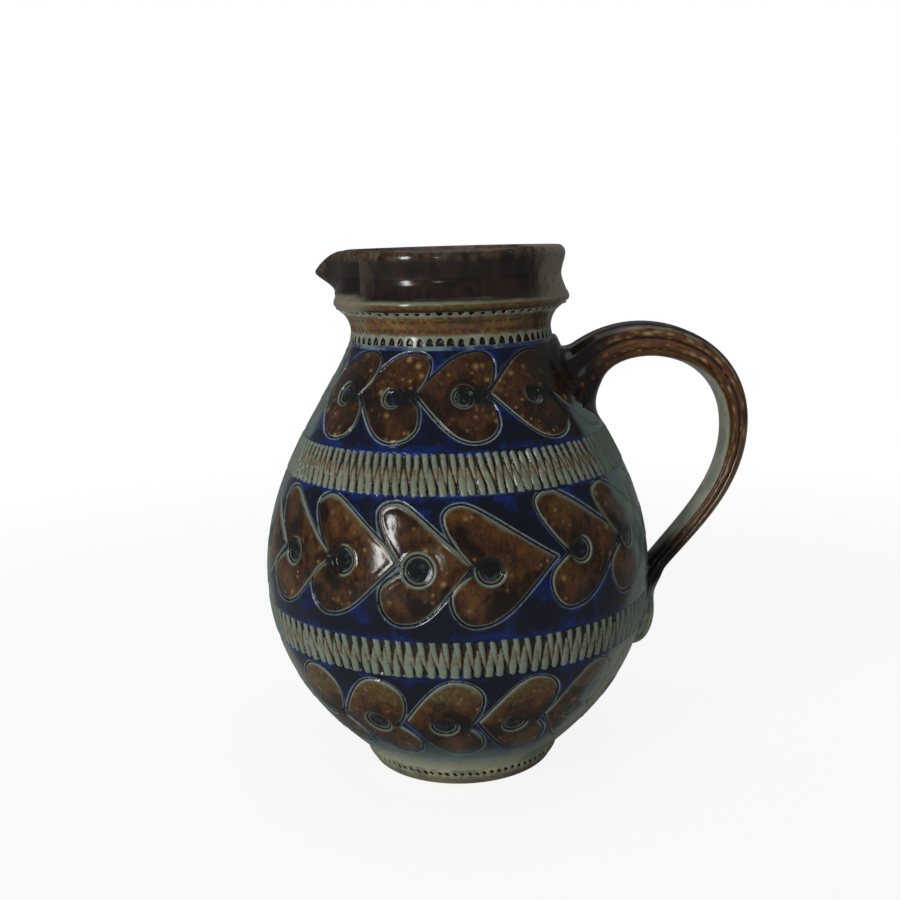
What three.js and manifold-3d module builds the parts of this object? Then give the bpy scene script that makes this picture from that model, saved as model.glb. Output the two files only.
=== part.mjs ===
// Salt-glazed stoneware jug: a thrown globe on a turned foot band, a short neck, a ridged
// collar with a pulled pouring lip, and a strap handle luted on at the shoulder and the belly.
// Millimetres, +Z up. The origin is the centre of the flat base, the handle lies towards +X
// and the lip towards -X. Seams between thrown pieces are flat rings that touch face to face.

import * as THREE from 'three';
import { mergeVertices } from 'three/addons/utils/BufferGeometryUtils.js';
import Module from 'manifold-3d';

const wasm = await Module();
wasm.setup();

// Foot band
const footHeight = 8;
const footTopRadius = 43;
const footTaper = 3.3;
const footSeatWidth = 7;
const footEdgeRounding = 1.2;
const footBulge = 0.4;

// Belly: rises are counted upwards from the seam below
const bellyRadius = 81.7;
const bowlRise = 76;
const shoulderRise = 97;
const neckSeamRadius = 43;
const bellyWall = 5.5;
const floorThickness = 10;
const floorCornerReach = 15;

// Belly curve: leans from the horizontal and from the vertical, pulls as shares of the rises
const bowlLean = THREE.MathUtils.degToRad(55);
const bowlStartPull = 0.1;
const bowlFullness = 0.6;
const shoulderFullness = 0.463;
const shoulderEndPull = 0.224;
const shoulderLean = THREE.MathUtils.degToRad(19.8);

// Neck: drawn in from the seam below it, then flared out from that seam's radius
const neckRise = 15;
const neckDrawIn = 1.3;
const neckWaistRise = 4.5;
const neckFlare = 3.9;
const neckWall = 5.5;
const mouthFlare = 1.4;

// Collar: its radii are counted from the top of the neck
const collarRise = 23.6;
const ridgeProud = 2.7;
const ridgeRise = 2.8;
const ridgeUndercut = 1.4;
const collarDrawIn = 0.5;
const collarWaistRise = 12.5;
const collarHollow = 0.5;
const collarWall = 5.2;
const lipFlare = 1.2;
const lipDrop = 3.1;
const lipThickness = 4.9;

// Pouring lip, pulled out of the collar
const spoutReach = 9.2;
const spoutDrop = 8;
const spoutHalfAngle = THREE.MathUtils.degToRad(41);
const beakHalfAngle = THREE.MathUtils.degToRad(24);
const ridgeFade = 1.8;
const beakSharpness = 2;
const pullByHeight = 1.4;
const dipByTurn = 0.9;
const dipByHeight = 0.8;

// Handle strap: its centre line, measured from the shoulder, the neck seam and the widest ring
const rootDrop = 13.4;
const rootStandoff = 4.3;
const rootLean = THREE.MathUtils.degToRad(54.6);
const gripReach = 37.5;
const gripRise = 58.5;
const tailDrop = 1.8;
const tailStandoff = 4.3;
const tailLean = THREE.MathUtils.degToRad(50.9);
const archStartPull = 27.1;
const archEndPull = 39.2;
const tailStartPull = 26.3;
const tailEndPull = 21.3;
const strapTopThickness = 17.4;
const strapTailThickness = 7.8;
const strapTopWidth = 22;
const strapTailWidth = 16;
const strapTaper = 1.6;

// Strap section: exponents under 1 square it off, waves round a full turn cut the grooves
const strapSides = 20;
const sideSquareness = 0.75;
const outerDome = 0.9;
const innerFlatness = 0.4;
const grooveWaves = 8;
const grooveShare = 0.08;

// Handle ends
const rootLength = 24;
const rootDepth = 14;
const rootFlareThickness = 11;
const rootFlareWidth = 17;
const rootLift = 8;
const rootCurl = 3;
const tailLength = 14;
const tailDepth = 8;
const padTop = 4;
const padHeight = 41;
const padHalfWidth = 13;
const padProud = 8.3;
const thumbDepth = 3.9;
const thumbPlace = 0.6;
const thumbSpread = 0.2;
const padEndShare = 0.15;

// Slip gap between the handle's ends and the pot
const slipGap = 0.3;

// Carved hearts, laid flat: the eye is the origin and the tip points towards +x. A row gives the way
// up the clay from the foot seam to its eyes and the turns of the front ones from the open side; the
// rest are spaced evenly. Each side of a heart has its lobe's outermost and highest place, counted
// from the eye, and the fullness of its edge at the top and towards the tip
const heartTipRise = 2;
const lobePull = 6;
const lobeCurl = 0.55;
const edgeShare = 0.42;
const middleHearts = {
  eyeWay: 109, count: 16, frontTurns: [-53.5, -33, -10.5, 8.8, 36.5, 58.5], tipWay: 1, tip: 27, notch: 5.5,
  up: { lobe: 17, end: 19.5, top: 9.5, height: 24.6, full: 6, bulge: 0 },
  down: { lobe: 15, end: 10.5, top: 6, height: 21, full: 12, bulge: 1 },
  steps: 6,
};
const shoulderHearts = {
  eyeWay: 174, count: 12, frontTurns: [-54, -26.5, 4.5, 37], tipWay: -1, tip: 19, notch: 8,
  up: { lobe: 14, end: 13.5, top: 7, height: 18.5, full: 10, bulge: 4 },
  down: { lobe: 12.5, end: 10.6, top: 3.2, height: 18.7, full: 8, bulge: 3 },
  steps: 5,
};
const heartUnderHandle = 5;
const eyeRadius = 4.7;

// The tool's groove
const grooveDepth = 0.8;
const grooveHalfWidth = 1.6;
const grooveLift = 1;
const eyeDepth = 0.9;
const eyeTaper = 0.8;

// Facets
const roundSegments = 60;
const bellySteps = 17;
const floorSteps = 4;
const collarSteps = 46;
const spoutSteps = 22;
const collarPoints = 16;
const strapSteps = 30;
const rootSteps = 14;
const tailSteps = 8;
const padSteps = 16;
const eyeSides = 6;

// Heights above the base
const widestHeight = footHeight + bowlRise;
const neckSeamHeight = widestHeight + shoulderRise;
const collarSeamHeight = neckSeamHeight + neckRise;
const rimHeight = collarSeamHeight + collarRise;

// Radii that follow from the ones above
const footBaseRadius = footTopRadius - footTaper;
const basePlugRadius = footTopRadius - footSeatWidth;
const neckWaistRadius = neckSeamRadius - neckDrawIn;
const neckTopRadius = neckSeamRadius + neckFlare;
const ridgeRadius = neckTopRadius + ridgeProud;
const collarWaistRadius = neckTopRadius - collarDrawIn;
const lipRadius = neckTopRadius + lipFlare;
const neckSeamBore = neckSeamRadius - bellyWall;
const collarSeamBore = neckWaistRadius - neckWall + mouthFlare;

function at(radius, height) {
  return new THREE.Vector2(radius, height);
}

function glaze(color, roughness) {
  return new THREE.MeshStandardMaterial({ color, roughness, metalness: 0 });
}

// Turns a closed profile, given as radius and height, into a body round the Z axis
function thrown(profile) {
  const geometry = new THREE.LatheGeometry(profile, roundSegments);
  geometry.rotateX(Math.PI / 2);
  return facedOut(geometry);
}

// Sweeps a closed section in even steps; place gives the position for x, y and a share of the way
function swept(outline, steps, place) {
  const shape = new THREE.Shape(outline);
  const geometry = new THREE.ExtrudeGeometry(shape, { depth: 1, steps, bevelEnabled: false });
  const points = geometry.attributes.position;
  const point = new THREE.Vector3();
  for (let i = 0; i < points.count; i += 1) {
    point.fromBufferAttribute(points, i);
    place(point.x, point.y, point.z, point);
    points.setXYZ(i, point.x, point.y, point.z);
  }
  return facedOut(geometry);
}

// Keeps positions only, joins shared vertices and turns the faces outwards
function facedOut(geometry) {
  const bare = new THREE.BufferGeometry();
  bare.setAttribute('position', geometry.attributes.position);
  bare.setIndex(geometry.index);
  const merged = mergeVertices(bare, 1e-4);
  const points = merged.attributes.position;
  const corners = [new THREE.Vector3(), new THREE.Vector3(), new THREE.Vector3()];
  const kept = [];
  let sixVolumes = 0;
  for (let i = 0; i < merged.index.count; i += 3) {
    const ids = [0, 1, 2].map((k) => merged.index.getX(i + k));
    if (new Set(ids).size < 3) continue;
    corners.forEach((corner, k) => corner.fromBufferAttribute(points, ids[k]));
    sixVolumes += corners[0].dot(corners[1].cross(corners[2]));
    kept.push(ids);
  }
  const order = sixVolumes < 0 ? [0, 2, 1] : [0, 1, 2];
  merged.setIndex(kept.flatMap((ids) => order.map((k) => ids[k])));
  return merged;
}

function toSolid(geometry) {
  return new wasm.Manifold(new wasm.Mesh({
    numProp: 3,
    vertProperties: geometry.attributes.position.array,
    triVerts: Uint32Array.from(geometry.index.array),
  }));
}

function toGeometry(solid) {
  const mesh = solid.getMesh();
  const geometry = new THREE.BufferGeometry();
  geometry.setAttribute('position', new THREE.BufferAttribute(mesh.vertProperties, 3));
  geometry.setIndex(new THREE.BufferAttribute(mesh.triVerts, 1));
  return geometry;
}

function named(name, geometry, material) {
  const mesh = new THREE.Mesh(geometry, material);
  mesh.name = name;
  return mesh;
}

// Outline of the belly from the foot seam to the neck seam
function bellyOutline() {
  const widest = at(bellyRadius, widestHeight);
  const start = at(footTopRadius, footHeight);
  const end = at(neckSeamRadius, neckSeamHeight);
  const startPull = bowlStartPull * bowlRise;
  const endPull = shoulderEndPull * shoulderRise;
  const bowl = new THREE.CubicBezierCurve(
    start,
    at(start.x + startPull * Math.cos(bowlLean), start.y + startPull * Math.sin(bowlLean)),
    at(widest.x, widest.y - bowlFullness * bowlRise),
    widest,
  );
  const shoulder = new THREE.CubicBezierCurve(
    widest,
    at(widest.x, widest.y + shoulderFullness * shoulderRise),
    at(end.x + endPull * Math.sin(shoulderLean), end.y - endPull * Math.cos(shoulderLean)),
    end,
  );
  const curves = new THREE.CurvePath();
  curves.add(bowl);
  curves.add(shoulder);
  return curves;
}

const bellyCurve = bellyOutline();
const bellyPoints = bellyCurve.getSpacedPoints(bellySteps);

// Radius of the belly's outer face at a height, and the face's outward lean there
function bellyAt(height) {
  let k = 1;
  while (k < bellyPoints.length - 1 && bellyPoints[k].y < height) k += 1;
  const low = bellyPoints[k - 1];
  const high = bellyPoints[k];
  const share = (height - low.y) / (high.y - low.y);
  const along = high.clone().sub(low).normalize();
  return { radius: low.x + share * (high.x - low.x), out: at(along.y, -along.x) };
}

// Inner face of the belly, a wall's thickness inside the outer one, down to the floor
function bellyInside() {
  const inside = [];
  const top = bellyPoints.length - 1;
  for (let k = top; k >= 0; k -= 1) {
    const along = bellyCurve.getTangentAt(k / top);
    const point = at(bellyPoints[k].x - bellyWall * along.y, bellyPoints[k].y + bellyWall * along.x);
    if (point.y < floorThickness + bellyWall) break;
    if (point.y < neckSeamHeight - bellyWall / 2) inside.push(point);
  }
  const foot = inside[inside.length - 1];
  const corner = new THREE.QuadraticBezierCurve(
    foot,
    at(foot.x - floorCornerReach / 2, floorThickness + 0.1 * bellyWall),
    at(foot.x - floorCornerReach, floorThickness),
  );
  return [at(neckSeamBore, neckSeamHeight), ...inside, ...corner.getPoints(floorSteps).slice(1)];
}

function footBand() {
  const bore = basePlugRadius + slipGap;
  return thrown([
    at(bore, 0),
    at(footBaseRadius - footEdgeRounding, 0),
    at(footBaseRadius, footEdgeRounding),
    at((footBaseRadius + footTopRadius) / 2 + footBulge, footHeight / 2),
    at(footTopRadius, footHeight),
    at(bore, footHeight),
    at(bore, 0),
  ]);
}

function thrownBelly() {
  return thrown([
    at(0, 0),
    at(basePlugRadius, 0),
    at(basePlugRadius, footHeight),
    ...bellyPoints,
    ...bellyInside(),
    at(0, floorThickness),
  ]);
}

// One side of a heart's outline, from the notch round the lobe to the tip
function heartSide(row, tip, side) {
  const shape = side > 0 ? row.up : row.down;
  const notch = at(-row.notch, 0);
  const end = at(-shape.lobe, side * shape.end);
  const top = at(-shape.top, side * shape.height);
  const point = at(tip, heartTipRise);
  const elbow = point.clone().lerp(top, edgeShare);
  const line = new THREE.CurvePath();
  line.add(new THREE.CubicBezierCurve(
    notch,
    at(notch.x - lobePull / 2, side * lobePull / 2),
    at(end.x, end.y - side * lobePull),
    end,
  ));
  line.add(new THREE.CubicBezierCurve(
    end,
    at(end.x, THREE.MathUtils.lerp(end.y, top.y, lobeCurl)),
    at(THREE.MathUtils.lerp(top.x, end.x, lobeCurl), top.y),
    top,
  ));
  line.add(new THREE.CubicBezierCurve(
    top,
    at(top.x + shape.full, top.y),
    at(elbow.x, elbow.y + side * shape.bulge),
    point,
  ));
  return line;
}

// Lays a point of a heart's plane onto the belly, lifted off its face
function onBelly(row, turn, x, y, lift, point) {
  const reach = bellyCurve.getLength();
  const eye = bellyCurve.getPoint(row.eyeWay / reach);
  const place = bellyCurve.getPoint(Math.min((row.eyeWay + y) / reach, 1));
  const surface = bellyAt(place.y);
  const angle = turn + (2 * row.tipWay * x) / (eye.x + place.x);
  const radius = surface.radius + surface.out.x * lift;
  return point.set(radius * Math.cos(angle), radius * Math.sin(angle), place.y + surface.out.y * lift);
}

// A V-shaped cut along a line in a heart's plane
function groove(row, turn, line) {
  const section = [at(-1, 0), at(1, 0), at(0, 1)];
  return toSolid(swept(section, row.steps, (x, y, share, point) => {
    const centre = line.getPoint(share);
    const aside = line.getTangent(share).rotateAround(at(0, 0), Math.PI / 2);
    centre.addScaledVector(aside, x * grooveHalfWidth);
    const lift = THREE.MathUtils.lerp(grooveLift, -grooveDepth, y);
    onBelly(row, turn, centre.x, centre.y, lift, point);
  }));
}

// The thumbed hollow at a heart's notch
function heartEye(row, turn) {
  const round = new THREE.EllipseCurve(0, 0, eyeRadius, eyeRadius).getPoints(eyeSides).slice(1);
  return toSolid(swept(round, 1, (x, y, share, point) => {
    const spread = THREE.MathUtils.lerp(eyeTaper, 1, share);
    const lift = THREE.MathUtils.lerp(-eyeDepth, grooveLift, share);
    onBelly(row, turn, x * spread, y * spread, lift, point);
  }));
}

// Turns of a row's eyes: the front ones, then the others evenly over the rest of the way round
function eyeTurns(row) {
  const first = row.frontTurns[0];
  const last = row.frontTurns[row.frontTurns.length - 1];
  const others = row.count - row.frontTurns.length;
  const step = (360 + first - last) / (others + 1);
  const rest = Array.from({ length: others }, (_, k) => last + step * (k + 1));
  return [...row.frontTurns, ...rest].map((turn) => THREE.MathUtils.degToRad(turn - 90));
}

// The outlines of a row; a tip reaches at most to the notch of the next heart
function heartRow(row, skipped) {
  const turns = eyeTurns(row);
  const radius = bellyCurve.getPoint(row.eyeWay / bellyCurve.getLength()).x;
  const cuts = [];
  turns.forEach((turn, k) => {
    if (k === skipped) return;
    const next = turns[(k + row.tipWay + row.count) % row.count];
    const gap = THREE.MathUtils.euclideanModulo(row.tipWay * (next - turn), 2 * Math.PI);
    const tip = Math.min(row.tip, gap * radius - row.notch);
    cuts.push(groove(row, turn, heartSide(row, tip, 1)));
    cuts.push(groove(row, turn, heartSide(row, tip, -1)));
  });
  return cuts;
}

function belly() {
  const cuts = wasm.Manifold.union([
    ...heartRow(middleHearts),
    ...eyeTurns(middleHearts).map((turn) => heartEye(middleHearts, turn)),
    ...heartRow(shoulderHearts, heartUnderHandle),
  ]);
  return toGeometry(toSolid(thrownBelly()).subtract(cuts));
}

function neckOutline() {
  const waist = at(neckWaistRadius, neckSeamHeight + neckWaistRise);
  const lower = new THREE.QuadraticBezierCurve(
    at(neckSeamRadius, neckSeamHeight),
    at(neckWaistRadius, neckSeamHeight + neckWaistRise / 2),
    waist,
  );
  const flare = new THREE.CubicBezierCurve(
    waist,
    at(neckWaistRadius, (waist.y + collarSeamHeight) / 2),
    at((neckWaistRadius + neckTopRadius) / 2, collarSeamHeight - 0.15 * neckRise),
    at(neckTopRadius, collarSeamHeight),
  );
  return [...lower.getPoints(2), ...flare.getPoints(6).slice(1)];
}

function neck() {
  return thrown([
    ...neckOutline(),
    at(collarSeamBore, collarSeamHeight),
    at(neckWaistRadius - neckWall, neckSeamHeight + neckWaistRise),
    at(neckSeamBore, neckSeamHeight),
    at(neckSeamRadius, neckSeamHeight),
  ]);
}

// Section of the collar: ridge, hollow waist, rounded rim, then down the inner face
function collarSection() {
  const ridgeHeight = collarSeamHeight + ridgeRise;
  const waistHeight = collarSeamHeight + collarWaistRise;
  const lipHeight = rimHeight - lipDrop;
  const outside = new THREE.SplineCurve([
    at(ridgeRadius - ridgeUndercut, collarSeamHeight),
    at(ridgeRadius, ridgeHeight),
    at((ridgeRadius + collarWaistRadius) / 2 - collarHollow, (ridgeHeight + waistHeight) / 2),
    at(collarWaistRadius, waistHeight),
    at(lipRadius, lipHeight),
    at(lipRadius - lipThickness / 2, rimHeight),
    at(lipRadius - lipThickness, lipHeight),
  ]);
  return [
    ...outside.getPoints(collarPoints),
    at(collarWaistRadius - collarWall, waistHeight),
    at(collarSeamBore, collarSeamHeight),
  ];
}

// Carries a point of the collar's section round the pot; turn is counted from the lip's tip
function pulledOut(radius, height, turn, point) {
  const ridgeHeight = collarSeamHeight + ridgeRise;
  const share = THREE.MathUtils.clamp((height - ridgeHeight) / (rimHeight - ridgeHeight), 0, 1);
  const offTip = Math.min(Math.abs(turn) / beakHalfAngle, 1);
  const beak = Math.max(Math.cos((Math.PI / 2) * offTip), 0) ** beakSharpness;
  const fade = Math.max(0, 1 - Math.abs(height - ridgeHeight) / (2 * ridgeRise));
  const out = radius + beak * (spoutReach * share ** pullByHeight - ridgeFade * fade);
  const down = spoutDrop * beak ** dipByTurn * share ** dipByHeight;
  return point.set(-out * Math.cos(turn), -out * Math.sin(turn), height - down);
}

function collarArc(from, to, steps) {
  return swept(collarSection(), steps, (x, y, share, point) => {
    pulledOut(x, y, THREE.MathUtils.lerp(from, to, share), point);
  });
}

function rimCollar() {
  return collarArc(spoutHalfAngle, 2 * Math.PI - spoutHalfAngle, collarSteps);
}

function pouringLip() {
  return collarArc(-spoutHalfAngle, spoutHalfAngle, spoutSteps);
}

// Centre line of the strap in the XZ plane, from the shoulder over the grip to the belly
function strapLine() {
  const rootHeight = neckSeamHeight - rootDrop;
  const tailHeight = widestHeight - tailDrop;
  const root = at(bellyAt(rootHeight).radius + rootStandoff, rootHeight);
  const grip = at(bellyRadius + gripReach, widestHeight + gripRise);
  const tail = at(bellyAt(tailHeight).radius + tailStandoff, tailHeight);
  const rootWay = at(Math.cos(rootLean), Math.sin(rootLean));
  const tailWay = at(Math.cos(tailLean), Math.sin(tailLean));
  const line = new THREE.CurvePath();
  line.add(new THREE.CubicBezierCurve(
    root,
    root.clone().addScaledVector(rootWay, archStartPull),
    at(grip.x, grip.y + archEndPull),
    grip,
  ));
  line.add(new THREE.CubicBezierCurve(
    grip,
    at(grip.x, grip.y - tailStartPull),
    tail.clone().addScaledVector(tailWay, tailEndPull),
    tail,
  ));
  return line;
}

const strapPath = strapLine();
const strapReach = strapPath.getLength();

// Point and direction on the centre line, carried on straight beyond both of its ends
function strapAt(distance) {
  const inside = THREE.MathUtils.clamp(distance, 0, strapReach);
  const along = strapPath.getTangentAt(inside / strapReach);
  const point = strapPath.getPointAt(inside / strapReach).addScaledVector(along, distance - inside);
  return { point, along };
}

function strapHalfSizes(distance) {
  const share = THREE.MathUtils.clamp(distance / strapReach, 0, 1);
  return {
    width: THREE.MathUtils.lerp(strapTopWidth, strapTailWidth, share) / 2,
    thickness: THREE.MathUtils.lerp(strapTailThickness, strapTopThickness, (1 - share) ** strapTaper) / 2,
    lift: 0,
  };
}

// Unit section of the strap: flat inside, domed outside with finger grooves along it
function strapSection() {
  const outline = [];
  for (let k = 0; k < strapSides; k += 1) {
    const angle = (2 * Math.PI * (k + 0.5)) / strapSides;
    const across = Math.sign(Math.cos(angle)) * Math.abs(Math.cos(angle)) ** sideSquareness;
    const height = Math.abs(Math.sin(angle));
    const rise = Math.sin(angle) > 0 ? height ** outerDome : -(height ** innerFlatness);
    const groove = rise > 0 ? grooveShare * (1 - Math.cos(grooveWaves * angle)) : 0;
    outline.push(at(across * (1 - groove / 2), rise - groove));
  }
  return outline;
}

// Places a point of the unit section on the centre line at a distance, with its own half sizes
function onStrap(across, rise, distance, sizes, point) {
  const line = strapAt(distance);
  const lift = rise * sizes.thickness + sizes.lift;
  return point.set(
    line.point.x - line.along.y * lift,
    -across * sizes.width,
    line.point.y + line.along.x * lift,
  );
}

function strapPiece(from, to, steps, sizesAt) {
  return swept(strapSection(), steps, (x, y, share, point) => {
    const distance = THREE.MathUtils.lerp(from, to, share);
    onStrap(x, y, distance, sizesAt(distance), point);
  });
}

// The strap swells like a trumpet where it was pressed onto the shoulder
function rootHalfSizes(distance) {
  const sizes = strapHalfSizes(distance);
  const flare = ((rootLength - distance) / (rootLength + rootDepth)) ** rootCurl;
  return {
    width: sizes.width + flare * rootFlareWidth,
    thickness: sizes.thickness + flare * rootFlareThickness,
    lift: flare * flare * rootLift,
  };
}

// Pad of clay under the tail: follows the belly, thumbed hollow above a thick rounded end
function tailPad() {
  const bottom = widestHeight + padTop - padHeight;
  return swept(strapSection(), padSteps, (x, y, share, point) => {
    const surface = bellyAt(bottom + share * padHeight);
    const round = Math.sqrt(1 - Math.abs(2 * share - 1) ** 3);
    const swell = THREE.MathUtils.lerp(padEndShare, 1, round);
    const thumb = thumbDepth * Math.exp(-(((share - thumbPlace) / thumbSpread) ** 2));
    const lift = y * swell * (padProud - thumb);
    point.set(
      surface.radius + surface.out.x * lift,
      -x * swell * padHalfWidth,
      bottom + share * padHeight + surface.out.y * lift,
    );
  });
}

// Everything inside the pot's outer face, a slip gap larger all round
function potEnvelope() {
  const outline = [
    at(footTopRadius, footHeight),
    ...bellyPoints.slice(1),
    ...neckOutline().slice(1),
  ];
  const grown = outline.map((point, k) => {
    const before = outline[Math.max(k - 1, 0)];
    const after = outline[Math.min(k + 1, outline.length - 1)];
    const along = after.clone().sub(before).normalize();
    return at(point.x + slipGap * along.y, point.y - slipGap * along.x);
  });
  const last = grown[grown.length - 1];
  return thrown([at(0, grown[0].y), ...grown, at(last.x, collarSeamHeight), at(0, collarSeamHeight)]);
}

function handleRoot(envelope) {
  const trumpet = toSolid(strapPiece(-rootDepth, rootLength, rootSteps, rootHalfSizes));
  return toGeometry(trumpet.subtract(envelope));
}

function handleStrap() {
  return strapPiece(rootLength, strapReach - tailLength, strapSteps, strapHalfSizes);
}

function handleTail(envelope) {
  const from = strapReach - tailLength;
  const end = toSolid(strapPiece(from, strapReach + tailDepth, tailSteps, strapHalfSizes));
  return toGeometry(end.add(toSolid(tailPad())).subtract(envelope));
}

const envelope = toSolid(potEnvelope());
const darkBrown = glaze(0x33201a, 0.2);

const pot = new THREE.Group();
pot.add(named('foot_band', footBand(), glaze(0x6f7262, 0.35)));
pot.add(named('belly', belly(), glaze(0x20294f, 0.22)));
pot.add(named('neck', neck(), glaze(0x76562c, 0.25)));
pot.add(named('rim_collar', rimCollar(), darkBrown));
pot.add(named('pouring_lip', pouringLip(), darkBrown.clone()));

const handle = new THREE.Group();
handle.add(named('handle_root', handleRoot(envelope), glaze(0x24242c, 0.25)));
handle.add(named('handle_strap', handleStrap(), glaze(0x56371f, 0.25)));
handle.add(named('handle_tail_pad', handleTail(envelope), glaze(0x55625e, 0.3)));

const jug = new THREE.Group();
jug.add(pot, handle);

export default jug;
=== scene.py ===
import math

import bpy
import numpy as np
from mathutils import Matrix, Vector


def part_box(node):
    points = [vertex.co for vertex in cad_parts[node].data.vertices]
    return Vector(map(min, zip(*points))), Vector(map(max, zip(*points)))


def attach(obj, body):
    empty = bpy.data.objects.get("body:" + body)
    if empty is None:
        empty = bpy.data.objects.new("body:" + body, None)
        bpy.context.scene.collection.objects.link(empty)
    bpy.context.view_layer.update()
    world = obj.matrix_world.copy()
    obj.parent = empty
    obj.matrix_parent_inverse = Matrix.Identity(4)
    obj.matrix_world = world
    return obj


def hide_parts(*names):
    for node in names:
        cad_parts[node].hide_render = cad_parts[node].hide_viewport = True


# Salt-glazed stoneware jug. Lengths are in millimetres and become metres in the meshes.
# Turns are counted round the pot in radians from the side that faces the camera (-Y) towards +X.
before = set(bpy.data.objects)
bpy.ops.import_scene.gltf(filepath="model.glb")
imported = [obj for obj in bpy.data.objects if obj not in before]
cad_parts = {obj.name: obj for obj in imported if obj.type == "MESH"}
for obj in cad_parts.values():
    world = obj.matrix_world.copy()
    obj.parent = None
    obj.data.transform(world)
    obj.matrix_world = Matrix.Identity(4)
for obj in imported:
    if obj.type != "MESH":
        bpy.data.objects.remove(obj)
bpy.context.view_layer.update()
print("frame loaded:", len(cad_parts), "nodes")

mm = 0.001
fullTurn = 2 * math.pi
chance = np.random.default_rng(1874)   # every hand-made unevenness comes from here


def topOf(node):
    return round(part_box(node)[1].z / mm, 2)


footTop = topOf("foot_band")
neckSeam = topOf("belly")
collarSeam = topOf("neck")


# Curves

def bezier(points, steps):
    p = [np.array(point, float) for point in points]
    t = np.linspace(0, 1, steps)[:, None]
    if len(p) == 3:
        return (1 - t) ** 2 * p[0] + 2 * (1 - t) * t * p[1] + t ** 2 * p[2]
    return (1 - t) ** 3 * p[0] + 3 * (1 - t) ** 2 * t * p[1] + 3 * (1 - t) * t ** 2 * p[2] + t ** 3 * p[3]


def softCurve(points, steps):   # a Catmull-Rom curve through the points, steps to each stretch
    p = [np.array(point, float) for point in points]
    p = [p[0]] + p + [p[-1]]
    made = []
    for a, b, c, d in zip(p, p[1:], p[2:], p[3:]):
        t = np.linspace(0, 1, steps, endpoint=False)[:, None]
        start, end = (c - a) / 2, (d - b) / 2
        made.append(b + t * start + t ** 2 * (3 * (c - b) - 2 * start - end)
                    + t ** 3 * (2 * (b - c) + start + end))
    made.append(p[-1][None, :])
    return np.vstack(made)


def lengthsAlong(line):
    return np.concatenate([[0], np.cumsum(np.linalg.norm(np.diff(line, axis=0), axis=1))])


def closedLengths(line):   # the last one is the whole way round
    return lengthsAlong(np.vstack([line, line[:1]]))


def evenly(line, spacing):   # the same line with points about spacing apart
    lengths = lengthsAlong(line)
    count = max(int(round(lengths[-1] / spacing)), 1) + 1
    places = np.linspace(0, lengths[-1], count)
    return np.column_stack([np.interp(places, lengths, line[:, k]) for k in range(line.shape[1])])


def easeIn(value, low, high):   # 0 below low, 1 above high, smooth between them
    t = np.clip((value - low) / (high - low), 0, 1)
    return t * t * (3 - 2 * t)


def bell(value, centre, width):
    return np.exp(-((value - centre) / width) ** 2)


# The pot's outline

pot = {
    "footBase": 39.7, "footRadius": 43.0, "footRounding": 1.2, "footBulge": 0.4,
    "bellyRadius": 81.7, "widest": footTop + 76, "bowlLean": math.radians(55), "bowlPull": 7.6,
    "bowlFullness": 45.6, "shoulderFullness": 44.9, "shoulderPull": 21.7,
    "shoulderLean": math.radians(19.8), "neckRadius": 43.0,
    "waistRadius": 41.7, "waistRise": 4.5, "neckTopRadius": 46.9, "flareRise": 2.25,
    "wall": 5.5, "floor": 10.0, "cornerTop": 18.0, "cornerWidth": 15.0,
    "seamBore": 37.5, "waistBore": 36.2, "collarBore": 37.6,
}


def potOutline():   # radius and height, from the foot's seam up to the collar's
    footOut, bellyOut, neckOut, waistOut, topOut = [
        pot[key] for key in ("footRadius", "bellyRadius", "neckRadius", "waistRadius", "neckTopRadius")]
    widest = pot["widest"]
    waistHeight = neckSeam + pot["waistRise"]
    bowl = bezier([
        (footOut, footTop),
        (footOut + pot["bowlPull"] * math.cos(pot["bowlLean"]),
         footTop + pot["bowlPull"] * math.sin(pot["bowlLean"])),
        (bellyOut, widest - pot["bowlFullness"]), (bellyOut, widest)], 400)
    shoulder = bezier([
        (bellyOut, widest), (bellyOut, widest + pot["shoulderFullness"]),
        (neckOut + pot["shoulderPull"] * math.sin(pot["shoulderLean"]),
         neckSeam - pot["shoulderPull"] * math.cos(pot["shoulderLean"])),
        (neckOut, neckSeam)], 400)
    drawnIn = bezier([(neckOut, neckSeam), (waistOut, neckSeam + pot["waistRise"] / 2),
                      (waistOut, waistHeight)], 60)
    flare = bezier([
        (waistOut, waistHeight), (waistOut, (waistHeight + collarSeam) / 2),
        ((waistOut + topOut) / 2, collarSeam - pot["flareRise"]), (topOut, collarSeam)], 120)
    return np.vstack([bowl, shoulder[1:], drawnIn[1:], flare[1:]])


outline = potOutline()
outlineLength = lengthsAlong(outline)


def radiusAt(height):
    return np.interp(height, outline[:, 1], outline[:, 0])


def lengthAt(height):   # way along the outline, up from the foot
    return np.interp(height, outline[:, 1], outlineLength)


def leanAt(height):   # outward direction of the surface, as radius and height
    rise = radiusAt(height + 0.3) - radiusAt(height - 0.3)
    size = np.hypot(rise, 0.6)
    return 0.6 / size, -rise / size


def turnOf(place):
    return np.arctan2(place[:, 0], -place[:, 1])


def turnFrom(turn, start):   # at most half a turn back or on
    return np.mod(turn - start + math.pi, fullTurn) - math.pi


# Working on meshes

def pickOnly(piece):
    bpy.ops.object.select_all(action="DESELECT")
    piece.select_set(True)
    bpy.context.view_layer.objects.active = piece


def drawProfile(name, points):   # a closed line in the XZ plane, points given in mm
    bpy.ops.object.select_all(action="DESELECT")
    bpy.ops.mesh.primitive_circle_add(vertices=len(points), radius=10 * mm)
    piece = bpy.context.object
    piece.name = piece.data.name = name
    place = np.zeros((len(points), 3), np.float32)
    place[:, 0] = points[:, 0] * mm
    place[:, 2] = points[:, 1] * mm
    piece.data.vertices.foreach_set("co", place.ravel())
    return piece


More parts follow.
